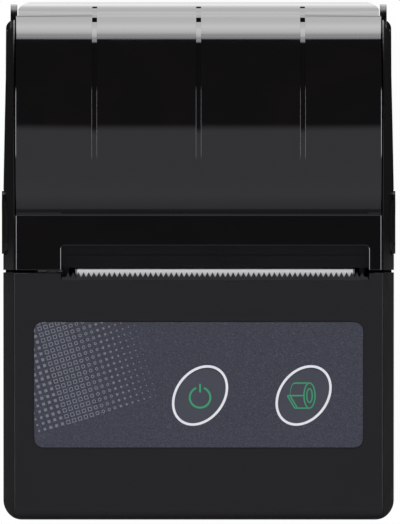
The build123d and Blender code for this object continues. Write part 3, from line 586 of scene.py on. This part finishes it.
@dataclass(frozen=True)
class LabelFilm(Finish):
    """Grained polyester film with a halftone field printed on its left end."""

    grain_size: float = 3300.0
    pit_shade: float = 0.55
    fleck_shade: float = 2.3
    fleck_share: float = 0.75
    halftone: Halftone = Halftone()
    print_colour: Colour = (0.20, 0.21, 0.25)
    print_share: float = 0.8

    def lay(self, canvas: Canvas) -> None:
        """Lay the speckled film and the print on it.

        Args:
            canvas: The material.
        """
        nodes = canvas.nodes
        grain = canvas.effects.grain.place(canvas, Grain=self.grain_size)
        height = grain.outputs["Height"]
        speckle = nodes.ramp(height, Ramp(0.33, 0.6))
        base = nodes.mix_colour(speckle, self.shade(self.pit_shade), self.colour)
        flecks = nodes.math("MULTIPLY", grain.outputs["Fleck"], self.fleck_share)
        base = nodes.mix_colour(flecks, base, self.shade(self.fleck_shade))
        dots = self.halftone.mask(nodes, canvas.place)
        dots = nodes.math("MULTIPLY", dots, self.print_share)
        canvas.set("Base Color", nodes.mix_colour(dots, base, self.print_colour))
        canvas.set("Roughness", nodes.ramp(height, Ramp(0.3, 0.7, 0.55, 0.42)))
        canvas.set("Specular IOR Level", 0.35)
        canvas.bump(height, strength=0.35, depth=0.03 * MM)


@dataclass(frozen=True)
class Ink(Finish):
    """Screen-printed ink with a slightly broken edge and tone."""

    grain_size: float = 5200.0
    pit_shade: float = 0.82

    def lay(self, canvas: Canvas) -> None:
        """Lay the ink with its uneven tone.

        Args:
            canvas: The material.
        """
        grain = canvas.effects.grain.place(canvas, Grain=self.grain_size)
        height = grain.outputs["Height"]
        base = canvas.nodes.mix_colour(height, self.shade(self.pit_shade), self.colour)
        canvas.set("Base Color", base)
        canvas.set("Roughness", 0.5)
        canvas.bump(height, strength=0.2, depth=0.02 * MM)


@dataclass(frozen=True)
class Paper(Finish):
    """Smooth coated paper, with the fine lines of its wound layers on the roll's ends."""

    axis_y: float = 0.0
    axis_z: float = 0.0
    layer: float = 0.35 * MM
    fibre_shade: float = 0.95
    gap_colour: Colour = (0.55, 0.55, 0.56)
    gap_share: float = 0.12

    def lay(self, canvas: Canvas) -> None:
        """Lay the fibres and the rings round the roll's axis.

        Args:
            canvas: The material.
        """
        nodes = canvas.nodes
        _, y, z = nodes.split(canvas.place)
        from_y = nodes.math("SUBTRACT", y, self.axis_y)
        from_z = nodes.math("SUBTRACT", z, self.axis_z)
        turns = nodes.math("MULTIPLY", nodes.length(from_y, from_z), 2 * math.pi / self.layer)
        layers = nodes.ramp(nodes.math("SINE", turns), Ramp(0.2, 1.0))
        fibre = nodes.noise(canvas.place, Scale=2600.0, Detail=4.0)
        tone = nodes.mix_colour(fibre, self.shade(self.fibre_shade), self.colour)
        gaps = nodes.math("MULTIPLY", layers, self.gap_share)
        canvas.set("Base Color", nodes.mix_colour(gaps, tone, self.gap_colour))
        canvas.set("Roughness", 0.6)
        canvas.bump(fibre, strength=0.1, depth=0.01 * MM)


@dataclass(frozen=True)
class Rubber(Finish):
    """Ground platen rubber with fine lines round it."""

    squash: Place = (30.0, 1.0, 1.0)
    line_shade: float = 1.6

    def lay(self, canvas: Canvas) -> None:
        """Lay the ground lines.

        Args:
            canvas: The material.
        """
        nodes = canvas.nodes
        lines = nodes.noise(nodes.mapped(canvas.place, self.squash), Scale=300.0, Detail=3.0)
        base = nodes.mix_colour(lines, self.colour, self.shade(self.line_shade))
        canvas.set("Base Color", base)
        canvas.set("Roughness", nodes.ramp(lines, Ramp(0.3, 0.7, 0.55, 0.75)))
        canvas.bump(lines, strength=0.2, depth=0.02 * MM)


@dataclass(frozen=True)
class OverheadCamera:
    """Camera straight above, framed as the photograph is."""

    pixel: float = 0.2065 * MM
    picture_width: float = 400.0
    picture_height: float = 524.0
    middle_px: tuple[float, float] = (198.6, 261.0)
    distance: float = 3.5
    sensor: float = 36.0
    farthest: float = 50.0

    def build(self) -> None:
        """Place the camera."""
        data = bpy.data.cameras.new("camera")
        data.sensor_width = self.sensor
        data.lens = self.sensor * self.distance / (self.picture_height * self.pixel)
        data.clip_end = self.farthest
        camera = bpy.data.objects.new("camera", data)
        bpy.context.scene.collection.objects.link(camera)
        across = (self.picture_width / 2 - self.middle_px[0]) * self.pixel
        up = (self.middle_px[1] - self.picture_height / 2) * self.pixel
        camera.location = (across, up, DECK_Z + self.distance)
        bpy.context.scene.camera = camera


@dataclass(frozen=True)
class SoftBox:
    """Large square lamp above the printer, a little to the left and in front of it."""

    place: Place = (-0.1, -0.15, 1.3)
    side: float = 0.9
    level: float = 2.6

    def build(self) -> None:
        """Hang the lamp, turned to the printer and out of sight."""
        data = bpy.data.lights.new("top_softbox", "AREA")
        data.shape = "SQUARE"
        data.size = self.side
        data.energy = self.level * math.pi * self.side**2
        lamp = bpy.data.objects.new("top_softbox", data)
        bpy.context.scene.collection.objects.link(lamp)
        lamp.location = self.place
        lamp.rotation_mode = "QUATERNION"
        lamp.rotation_quaternion = (-Vector(self.place)).to_track_quat("-Z", "Y")
        lamp.visible_camera = False
        lamp.visible_glossy = False


@dataclass(frozen=True)
class TableTop:
    """Pale table, which glossy faces mirror as a bright strip behind the printer.

    The ramps give the mirrored level over Y, and the strip's edge over X, in metres.
    """

    half_size: float = 6.0
    drop: float = 0.2 * MM
    grey: float = 0.8
    white: float = 1.09
    white_share: float = 0.85
    rear_start: Ramp = Ramp(0.054, 0.075, 0.002, 1.0)
    rear_rise: Ramp = Ramp(0.085, 0.18, 4.2, REAR_LEVEL, eased=True)
    rear_fall: Ramp = Ramp(0.20, 0.60, REAR_LEVEL, FAR_LEVEL, eased=True)
    strip_edge: Ramp = Ramp(0.045, 0.10, 1.0, 0.0, eased=True)
    beside: Ramp = Ramp(-0.005, 0.005, 0.10, 0.02)
    before: Ramp = Ramp(-0.12, -0.052, 0.15, 0.0)

    def mirrored(self, nodes: ShaderNodes) -> Socket:
        """Work out the level that glossy faces mirror.

        Args:
            nodes: The table's nodes.

        Returns:
            The level.
        """
        x, y, _ = nodes.split(nodes.add("ShaderNodeTexCoord").outputs["Object"])
        nearer = nodes.math("MULTIPLY", nodes.ramp(y, self.rear_start), nodes.ramp(y, self.rear_rise))
        rear = nodes.math("MINIMUM", nearer, nodes.ramp(y, self.rear_fall))
        off_strip = nodes.math("MULTIPLY_ADD", y, -STRIP_SPREAD, nodes.math("ABSOLUTE", x))
        strip = nodes.math("MULTIPLY", rear, nodes.ramp(off_strip, self.strip_edge))
        return nodes.fold(
            "MAXIMUM", strip, nodes.ramp(y, self.beside), nodes.ramp(y, self.before)
        )

    def material(self) -> bpy.types.Material:
        """Make the table's material: white to the camera, a level of its own in mirrors.

        Returns:
            The material.
        """
        material = bpy.data.materials.new("table_white")
        nodes = ShaderNodes.emptied(material)
        plain = nodes.add("ShaderNodeBsdfDiffuse", {"Color": (self.grey, self.grey, self.grey)})
        white = nodes.add("ShaderNodeEmission", {"Strength": self.white})
        gleam = nodes.add("ShaderNodeEmission", {"Strength": self.mirrored(nodes)})
        path = nodes.add("ShaderNodeLightPath")
        seen = nodes.math("MULTIPLY", path.outputs["Is Camera Ray"], self.white_share)
        inputs = {"Fac": seen, 1: plain.outputs[0], 2: white.outputs[0]}
        shown = nodes.add("ShaderNodeMixShader", inputs)
        inputs = {"Fac": path.outputs["Is Glossy Ray"], 1: shown.outputs[0], 2: gleam.outputs[0]}
        total = nodes.add("ShaderNodeMixShader", inputs)
        nodes.add("ShaderNodeOutputMaterial", {"Surface": total.outputs[0]})
        return material

    def build(self) -> None:
        """Lay the table just under the printer."""
        mesh = bpy.data.meshes.new("table_top")
        shape = bmesh.new()
        bmesh.ops.create_grid(shape, x_segments=1, y_segments=1, size=self.half_size)
        shape.to_mesh(mesh)
        shape.free()
        table = bpy.data.objects.new("table_top", mesh)
        bpy.context.scene.collection.objects.link(table)
        table.location.z = -self.drop
        mesh.materials.append(self.material())


@dataclass(frozen=True)
class Room:
    """Surroundings as glossy faces mirror them: pale in front, a patch at each side, else dark.

    The ramps run over the X, Y or Z of a direction.
    """

    soft_level: float = 0.545
    dark_level: float = 0.056
    cool_tint: Colour = (0.97, 0.95, 1.07)
    front: Ramp = Ramp(-0.15, 0.02, 0.745, 0.0, eased=True)
    front_height: Ramp = Ramp(0.0, 0.3, 0.62, 1.0)
    side: Ramp = Ramp(0.61, 0.67, 0.0, 10.0, eased=True)
    side_height: Ramp = Ramp(0.54, 0.60, eased=True)
    far_strip: Ramp = Ramp(0.3, 0.5, 0.0, HORIZON_LEVEL)
    far_strip_height: Ramp = Ramp(0.02, 0.035, 1.0, 0.0)
    far_strip_edge: Ramp = Ramp(STRIP_SPREAD, 2.0 * STRIP_SPREAD, 1.0, 0.0)

    def mirrored(self, nodes: ShaderNodes) -> Socket:
        """Work out the level that glossy faces mirror.

        Args:
            nodes: The world's nodes.

        Returns:
            The level.
        """
        x, y, z = nodes.split(nodes.add("ShaderNodeTexCoord").outputs["Generated"])
        aside = nodes.math("ABSOLUTE", x)
        zones = (
            ((y, self.front), (z, self.front_height)),
            ((aside, self.side), (z, self.side_height)),
            ((y, self.far_strip), (z, self.far_strip_height), (aside, self.far_strip_edge)),
        )
        levels = (
            nodes.fold("MULTIPLY", *(nodes.ramp(value, ramp) for value, ramp in zone))
            for zone in zones
        )
        return nodes.fold("MAXIMUM", *levels, self.dark_level)

    def build(self) -> None:
        """Make the world: white to the camera, even to matte faces, its zones in mirrors."""
        world = bpy.data.worlds.new("studio")
        bpy.context.scene.world = world
        nodes = ShaderNodes.emptied(world)
        inputs = {0: self.cool_tint, "Scale": self.mirrored(nodes)}
        cool = nodes.add("ShaderNodeVectorMath", inputs, operation="SCALE")
        path = nodes.add("ShaderNodeLightPath")
        soft = (self.soft_level, self.soft_level, self.soft_level)
        lit = nodes.mix_colour(path.outputs["Is Glossy Ray"], soft, cool.outputs[0])
        shown = nodes.mix_colour(path.outputs["Is Camera Ray"], lit, (1.0, 1.0, 1.0))
        ground = nodes.add("ShaderNodeBackground", {"Color": shown})
        nodes.add("ShaderNodeOutputWorld", {"Surface": ground.outputs[0]})


@dataclass(frozen=True)
class Studio:
    """The camera and all that lights the printer or lies under it."""

    camera: OverheadCamera = OverheadCamera()
    lamp: SoftBox = SoftBox()
    table: TableTop = TableTop()
    room: Room = Room()

    def build(self) -> None:
        """Set up camera, lamp, table and room."""
        bpy.context.scene.view_settings.view_transform = "Standard"
        for part in (self.camera, self.table, self.room, self.lamp):
            part.build()


@dataclass(frozen=True)
class Panel:
    """The sloping key panel as a plane that printed work lies on."""

    fold_y: float = -2.1 * MM
    tilt: float = math.radians(8.0)

    def matrix(self, x: float, y: float, lift: float) -> Matrix:
        """Frame on the panel at a plan position.

        Args:
            x: Plan X.
            y: Plan Y.
            lift: Height above the panel's surface.

        Returns:
            Matrix from the panel's own axes to the printer's.
        """
        up = Vector((0.0, -math.sin(self.tilt), math.cos(self.tilt)))
        height = DECK_Z + (y - self.fold_y) * math.tan(self.tilt)
        foot = Matrix.Translation(Vector((x, y, height)) + up * lift)
        return foot @ Matrix.Rotation(self.tilt, 4, "X")


class Piece:
    """A mesh of the scene's own, kept at the origin with its place in its mesh."""

    @staticmethod
    def from_bmesh(
        name: str, shape: bmesh.types.BMesh, body: str, slot: str, material: bpy.types.Material
    ) -> bpy.types.Object:
        """Turn a finished bmesh into a piece that rides on a body.

        Args:
            name: Name of the piece.
            shape: The bmesh, which is freed.
            body: Body that it rides on.
            slot: Material slot of the record; not used.
            material: Its finish.

        Returns:
            The new object.
        """
        mesh = bpy.data.meshes.new(name)
        shape.to_mesh(mesh)
        shape.free()
        mesh.materials.append(material)
        piece = bpy.data.objects.new(name, mesh)
        bpy.context.scene.collection.objects.link(piece)
        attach(piece, body)
        LOG.info("%s rides on %s with %d faces", name, body, len(mesh.polygons))
        return piece


@dataclass(frozen=True)
class MouldedPart:
    """A moulded part shown with the small radius that its mould leaves on the upper edges.

    A middle field may have finer edges, and a fine radius of 0 leaves those hard.
    """

    node: str
    body: str
    slot: str
    finish: str
    radius: float
    lowest_edge: float
    shading_angle: float = math.radians(32.0)
    fine_half_width: float = 0.0
    fine_from_y: float = 0.0
    fine_radius: float = 0.0
    segments: int = 3
    hard_angle: float = math.radians(48.0)
    flat_angle: float = math.radians(0.4)
    least_normal_z: float = 0.3
    merge_distance: float = 0.001 * MM

    def joined(self) -> bmesh.types.BMesh:
        """Copy the node's mesh with its loose triangles joined.

        Returns:
            The joined mesh.
        """
        shape = bmesh.new()
        shape.from_mesh(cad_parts[self.node].data)
        bmesh.ops.remove_doubles(shape, verts=shape.verts, dist=self.merge_distance)
        return shape

    def is_fine(self, edge: bmesh.types.BMEdge) -> bool:
        """Tell whether an edge lies in the middle field."""
        return all(
            abs(vert.co.x) < self.fine_half_width and vert.co.y > self.fine_from_y
            for vert in edge.verts
        )

    def is_upper_edge(self, edge: bmesh.types.BMEdge) -> bool:
        """Tell whether an edge is hard, stands out and can be seen from above."""
        return (
            edge.is_manifold
            and edge.calc_face_angle_signed() > self.hard_angle
            and min(vert.co.z for vert in edge.verts) > self.lowest_edge
            and max(face.normal.z for face in edge.link_faces) > self.least_normal_z
        )

    def soften(self, shape: bmesh.types.BMesh) -> None:
        """Round the upper edges.

        Args:
            shape: The joined mesh, which is changed.
        """
        bmesh.ops.dissolve_limit(
            shape, angle_limit=self.flat_angle, verts=shape.verts, edges=shape.edges
        )
        self.round_edges(shape, self.radius, fine=False)
        if self.fine_radius:
            self.round_edges(shape, self.fine_radius, fine=True)

    def round_edges(self, shape: bmesh.types.BMesh, radius: float, fine: bool) -> None:
        """Round the upper edges of the middle field, or all the others.

        Args:
            shape: The mesh, which is changed.
            radius: Distance from the edge to where the rounding starts.
            fine: Whether the edges of the middle field are meant.
        """
        upper = [edge for edge in shape.edges if self.is_upper_edge(edge)]
        bmesh.ops.bevel(
            shape,
            geom=[edge for edge in upper if self.is_fine(edge) == fine],
            offset=radius,
            segments=self.segments,
            profile=0.5,
            affect="EDGES",
            material=-1,
            clamp_overlap=False,
        )

    def show(self, shape: bmesh.types.BMesh, material: bpy.types.Material) -> None:
        """Show the finished mesh in place of the node.

        Args:
            shape: The finished mesh, which is freed.
            material: Its finish.
        """
        piece = Piece.from_bmesh(f"{self.node}_moulded", shape, self.body, self.slot, material)
        for face in piece.data.polygons:
            face.use_smooth = True
        piece.data.set_sharp_from_angle(angle=self.shading_angle)
        weighted = piece.modifiers.new("even_shading", "WEIGHTED_NORMAL")
        weighted.keep_sharp = True
        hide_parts(self.node)

    def build(self, materials: dict[str, bpy.types.Material]) -> None:
        """Build the part.

        Args:
            materials: Materials by name.
        """
        shape = self.joined()
        self.soften(shape)
        self.show(shape, materials[self.finish])


@dataclass(frozen=True)
class LidShell(MouldedPart):
    """The glossy lid, whose dome meets the level deck in a crisp line."""

    dome_y: float = 28.5 * MM
    dome_z: float = 21.0 * MM
    dome_radius: float = 25.0 * MM
    hollow: tuple[float, float] = (8.73 * MM, 9.83 * MM)
    deck_margin: float = 0.05 * MM

    def joined(self) -> bmesh.types.BMesh:
        """Copy the lid and bring the hollow at the dome's foot to a crisp line.

        Returns:
            The joined mesh.
        """
        shape = super().joined()
        drop = DECK_Z - self.dome_z
        foot_y = self.dome_y - math.sqrt(self.dome_radius**2 - drop**2)
        bmesh.ops.bisect_plane(
            shape,
            geom=list(shape.verts) + list(shape.edges) + list(shape.faces),
            plane_co=(0.0, foot_y, 0.0),
            plane_no=(0.0, 1.0, 0.0),
        )
        low, high = self.hollow
        for vert in shape.verts:
            if low < vert.co.y < high and vert.co.z > DECK_Z - self.deck_margin:
                reach = self.dome_y - vert.co.y
                dome = self.dome_z + math.sqrt(self.dome_radius**2 - reach**2)
                vert.co.z = max(DECK_Z, dome)
        return shape


MOULDED_PARTS = (
    MouldedPart(
        "front_cover",
        "base",
        "casing",
        "casing_black",
        radius=0.3 * MM,
        lowest_edge=28.0 * MM,
        fine_half_width=37.0 * MM,
        fine_from_y=-45.0 * MM,
    ),
    MouldedPart(
        "middle_case",
        "base",
        "casing",
        "cheek_black",
        radius=0.2 * MM,
        lowest_edge=30.0 * MM,
        shading_angle=math.radians(9.0),
        segments=2,
    ),
    LidShell(
        "lid_shell",
        "lid",
        "lid_gloss",
        "lid_gloss",
        radius=0.14 * MM,
        lowest_edge=33.0 * MM,
        shading_angle=math.radians(9.0),
        fine_half_width=30.0 * MM,
        fine_from_y=8.0 * MM,
        fine_radius=0.035 * MM,
        segments=2,
    ),
)


@dataclass
class Drawing:
    """Printed lines of one width on a flat place, added to one mesh.

    Points and angles are in the axes of the place, and the lines are as thick as the film.
    """

    shape: bmesh.types.BMesh
    to_place: Matrix
    line: float
    film: float = 0.02 * MM

    def add(self, part: bmesh.types.BMesh, shift: Matrix) -> None:
        """Put a finished line in its place and free its bmesh.

        Args:
            part: The line.
            shift: Matrix from its own axes to those of the place.
        """
        bmesh.ops.transform(part, matrix=self.to_place @ shift, verts=part.verts)
        carrier = bpy.data.meshes.new("carrier")
        part.to_mesh(carrier)
        part.free()
        self.shape.from_mesh(carrier)
        bpy.data.meshes.remove(carrier)

    def oval(self, half_axes: tuple[float, float], steps: int, x: float = 0.0) -> None:
        """Draw a closed oval.

        Args:
            half_axes: Half axes along X and Y, to the middle of the line.
            steps: Number of divisions.
            x: Place of its middle along X.
        """
        ring = bmesh.new()
        for side in (-0.5 * self.line, 0.5 * self.line):
            loop = bmesh.ops.create_circle(ring, cap_ends=False, segments=steps, radius=1.0)
            reach = (half_axes[0] + side, half_axes[1] + side, 1.0)
            bmesh.ops.scale(ring, vec=reach, verts=loop["verts"])
        bmesh.ops.bridge_loops(ring, edges=list(ring.edges))
        raised = bmesh.ops.extrude_face_region(ring, geom=list(ring.faces))["geom"]
        top = [piece for piece in raised if isinstance(piece, bmesh.types.BMVert)]
        bmesh.ops.translate(ring, vec=(0.0, 0.0, self.film), verts=top)
        bmesh.ops.recalc_face_normals(ring, faces=ring.faces)
        self.add(ring, Matrix.Translation((x, 0.0, 0.0)))

    def arc(
        self,
        half_axes: tuple[float, float],
        sector: tuple[float, float],
        steps: int,
        x: float = 0.0,
    ) -> None:
        """Draw part of an oval, whose line has its full width at the Y ends.

        Args:
            half_axes: Half axes along X and Y, to the middle of the line.
            sector: Angle where it starts and angle that it covers.
            steps: Number of divisions.
            x: Place of the oval's middle along X.
        """
        bend = bmesh.new()
        bmesh.ops.create_grid(bend, x_segments=1, y_segments=1, size=0.5)
        stand = (
            Matrix.Rotation(sector[0], 4, "Z")
            @ Matrix.Translation((half_axes[1], 0.0, self.film / 2))
            @ Matrix.Rotation(QUARTER_TURN, 4, "X")
            @ Matrix.Diagonal((self.line, self.film, 1.0, 1.0))
        )
        bmesh.ops.transform(bend, matrix=stand, verts=bend.verts)
        bmesh.ops.spin(
            bend,
            geom=list(bend.verts) + list(bend.edges) + list(bend.faces),
            cent=(0.0, 0.0, 0.0),
            axis=(0.0, 0.0, 1.0),
            angle=sector[1],
            steps=steps,
            use_merge=False,
        )
        bmesh.ops.scale(bend, vec=(half_axes[0] / half_axes[1], 1.0, 1.0), verts=bend.verts)
        bmesh.ops.recalc_face_normals(bend, faces=bend.faces)
        self.add(bend, Matrix.Translation((x, 0.0, 0.0)))

    def bar(self, start: tuple[float, float], end: tuple[float, float]) -> None:
        """Draw a straight line.

        Args:
            start: First end.
            end: Other end.
        """
        bar = bmesh.new()
        bmesh.ops.create_cube(bar, size=1.0)
        run = Vector(end) - Vector(start)
        middle = (Vector(start) + Vector(end)) / 2
        bmesh.ops.scale(bar, vec=(run.length, self.line, self.film), verts=bar.verts)
        turn = Matrix.Rotation(math.atan2(run.y, run.x), 4, "Z")
        self.add(bar, Matrix.Translation((middle.x, middle.y, self.film / 2)) @ turn)


@dataclass(frozen=True)
class KeyRings:
    """White rings on the label round the two keys."""

    half_axes: tuple[float, float] = (6.6 * MM, 4.92 * MM)
    line: float = 0.52 * MM
    turn: float = math.radians(54.0)
    lift: float = -0.05 * MM
    steps: int = 72

    def build(self, ink: bpy.types.Material) -> None:
        """Print the rings.

        Args:
            ink: Their ink.
        """
        shape = bmesh.new()
        for x in (POWER_KEY_X, FEED_KEY_X):
            flat = Panel().matrix(x, KEY_Y, self.lift)
            turned = flat @ Matrix.Rotation(self.turn, 4, "Z")
            Drawing(shape, turned, self.line).oval(self.half_axes, self.steps)
        Piece.from_bmesh("key_rings", shape, "base", "label_film", ink)


@dataclass(frozen=True)
class PowerSign:
    """Power pictogram: a broken ring with a bar at its top."""

    radius: float = 2.13 * MM
    line: float = 0.40 * MM
    gap: float = math.radians(44.0)
    bar_low: float = 1.05 * MM
    bar_high: float = 2.85 * MM
    drop: float = 0.39 * MM
    steps: int = 40

    def build(self, ink: bpy.types.Material) -> None:
        """Print the sign on its key.

        Args:
            ink: Its ink.
        """
        shape = bmesh.new()
        to_place = Panel().matrix(POWER_KEY_X, KEY_Y - self.drop, KEY_LIFT)
        sign = Drawing(shape, to_place, self.line)
        sector = (QUARTER_TURN + self.gap / 2, 2 * math.pi - self.gap)
        sign.arc((self.radius, self.radius), sector, self.steps)
        sign.bar((0.0, self.bar_low), (0.0, self.bar_high))
        Piece.from_bmesh("power_sign", shape, "power_button", "label_film", ink)


@dataclass(frozen=True)
class RollSign:
    """Paper roll pictogram: a roll on its side, with its core and a loose end."""

    line: float = 0.27 * MM
    near_x: float = 1.22 * MM
    far_x: float = -1.82 * MM
    roll: tuple[float, float] = (1.14 * MM, 2.62 * MM)
    core: tuple[float, float] = (0.57 * MM, 1.441 * MM)
    bend: float = 0.97 * MM
    end_x: float = -3.35 * MM
    loose_top: tuple[float, float] = (-3.3 * MM, -0.1 * MM)
    loose_width: float = 0.55 * MM
    roll_steps: int = 48
    core_steps: int = 40
    bend_steps: int = 16

    def build(self, ink: bpy.types.Material) -> None:
        """Print the sign on its key.

        Args:
            ink: Its ink.
        """
        shape = bmesh.new()
        sign = Drawing(shape, Panel().matrix(FEED_KEY_X, KEY_Y, KEY_LIFT), self.line)
        sign.oval(self.roll, self.roll_steps, self.near_x)
        sign.oval(self.core, self.core_steps, self.near_x)
        narrow, tall = self.roll
        quarter = (QUARTER_TURN, QUARTER_TURN)
        sign.arc((self.bend, tall), quarter, self.bend_steps, self.far_x)
        for side in (tall, -tall):
            sign.bar((self.far_x, side), (self.near_x, side))
        sign.bar((self.end_x, 0.0), (self.near_x - narrow, 0.0))
        for shift in (0.0, self.loose_width):
            top = (self.loose_top[0] + shift, self.loose_top[1])
            sign.bar(top, (self.far_x + shift, -tall))
        Piece.from_bmesh("roll_sign", shape, "feed_button", "label_film", ink)


@dataclass
class Wardrobe:
    """Every finish, and which node wears which."""

    effects: Effects = field(default_factory=Effects)

    def build(self) -> dict[str, bpy.types.Material]:
        """Build the finishes.

        Returns:
            Materials by name.
        """
        roll_low, roll_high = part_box("paper_roll")
        finishes = (
            MouldedPlastic("casing_black", (0.0042, 0.0042, 0.0046), specular=0.26),
            MouldedPlastic("cheek_black", (0.0040, 0.0038, 0.0040), sheen=Sheen.SMOOTH, specular=0.3),
            MouldedPlastic("inner_black", (0.0035, 0.0035, 0.0037), sheen=Sheen.SMOOTH, specular=0.25),
            MouldedPlastic("acetal", (0.78, 0.77, 0.71), sheen=Sheen.SMOOTH, grain_strength=0.05),
            MouldedPlastic("key_film", (0.0390, 0.0420, 0.0590), grain_size=5200.0),
            MouldedPlastic("board_green", (0.012, 0.09, 0.035), sheen=Sheen.SMOOTH),
            MouldedPlastic("chip_resin", (0.012, 0.012, 0.012), sheen=Sheen.DULL),
            MouldedPlastic("battery_wrap", (0.03, 0.07, 0.17), sheen=Sheen.SMOOTH),
            MouldedPlastic("lamp_resin", (0.6, 0.66, 0.62), sheen=Sheen.SMOOTH),
            MouldedPlastic("ceramic_white", (0.8, 0.79, 0.74), sheen=Sheen.SMOOTH),
            MouldedPlastic("core_card", (0.40, 0.31, 0.20), sheen=Sheen.DULL),
            MouldedPlastic("cable_amber", (0.34, 0.15, 0.03), sheen=Sheen.SMOOTH),
            PolishedPlastic("lid_gloss", (0.0035, 0.0034, 0.0036)),
            Metal("plated_steel", (0.62, 0.62, 0.63)),
            Metal("tear_steel", (0.012, 0.012, 0.013), roughness=0.35, coated=True),
            Metal("milled_aluminium", (0.72, 0.72, 0.73), roughness=0.38),
            Rubber("platen_black", (0.02, 0.02, 0.02)),
            Paper(
                "receipt_paper",
                (0.97, 0.97, 0.98),
                axis_y=(roll_low.y + roll_high.y) / 2,
                axis_z=(roll_low.z + roll_high.z) / 2,
            ),
            LabelFilm("label_print", (0.0400, 0.0430, 0.0610)),
            Ink("ink_white", (0.90, 0.92, 0.98)),
            Ink("ink_green", (0.030, 0.330, 0.150)),
        )
        return {f.name: f.build(self.effects) for f in finishes}

    def dress(self, materials: dict[str, bpy.types.Material]) -> None:
        """Give every CAD node its finish.

        Args:
            materials: Materials by name.
        """
        wears = {
            "casing_black": ("bottom_case", "front_cover", "battery_door"),
            "cheek_black": ("middle_case", "release_button_left", "release_button_right"),
            "inner_black": ("paper_bucket", "lid_liner", "mech_frame", "board_posts",
                            "power_switch", "feed_switch", "cable_socket"),
            "lid_gloss": ("lid_shell",),
            "label_print": ("label_overlay",),
            "key_film": ("power_key", "feed_key"),
            "tear_steel": ("tear_bar",),
            "plated_steel": ("hinge_pin", "platen_shaft", "idler_axle", "case_screws",
                             "head_springs", "release_spring_left", "release_spring_right",
                             "usb_socket", "motor", "wireless_module", "battery_contacts"),
            "cable_amber": ("head_cable",),
            "board_green": ("main_board", "key_board"),
            "chip_resin": ("board_chips",),
            "lamp_resin": ("status_leds", "light_pipes"),
            "battery_wrap": ("battery_pack",),
            "milled_aluminium": ("heat_sink",),
            "ceramic_white": ("thermal_head",),
            "acetal": ("idler_gear", "platen_gear", "motor_pinion", "platen_bearings"),
            "platen_black": ("platen_rubber",),
            "receipt_paper": ("paper_roll", "paper_strip"),
            "core_card": ("roll_core",),
        }
        for finish, nodes in wears.items():
            for node in nodes:
                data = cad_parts[node].data
                data.materials.clear()
                data.materials.append(materials[finish])
                LOG.info("%s wears %s", node, finish)


def main() -> None:
    """Build the studio, the finishes, the moulded parts and the printed work, in order."""
    logging.basicConfig(level=logging.INFO, format="%(message)s")
    Studio().build()
    wardrobe = Wardrobe()
    materials = wardrobe.build()
    wardrobe.dress(materials)
    for part in MOULDED_PARTS:
        part.build(materials)
    KeyRings().build(materials["ink_white"])
    PowerSign().build(materials["ink_green"])
    RollSign().build(materials["ink_green"])


if __name__ == "__main__":
    main()
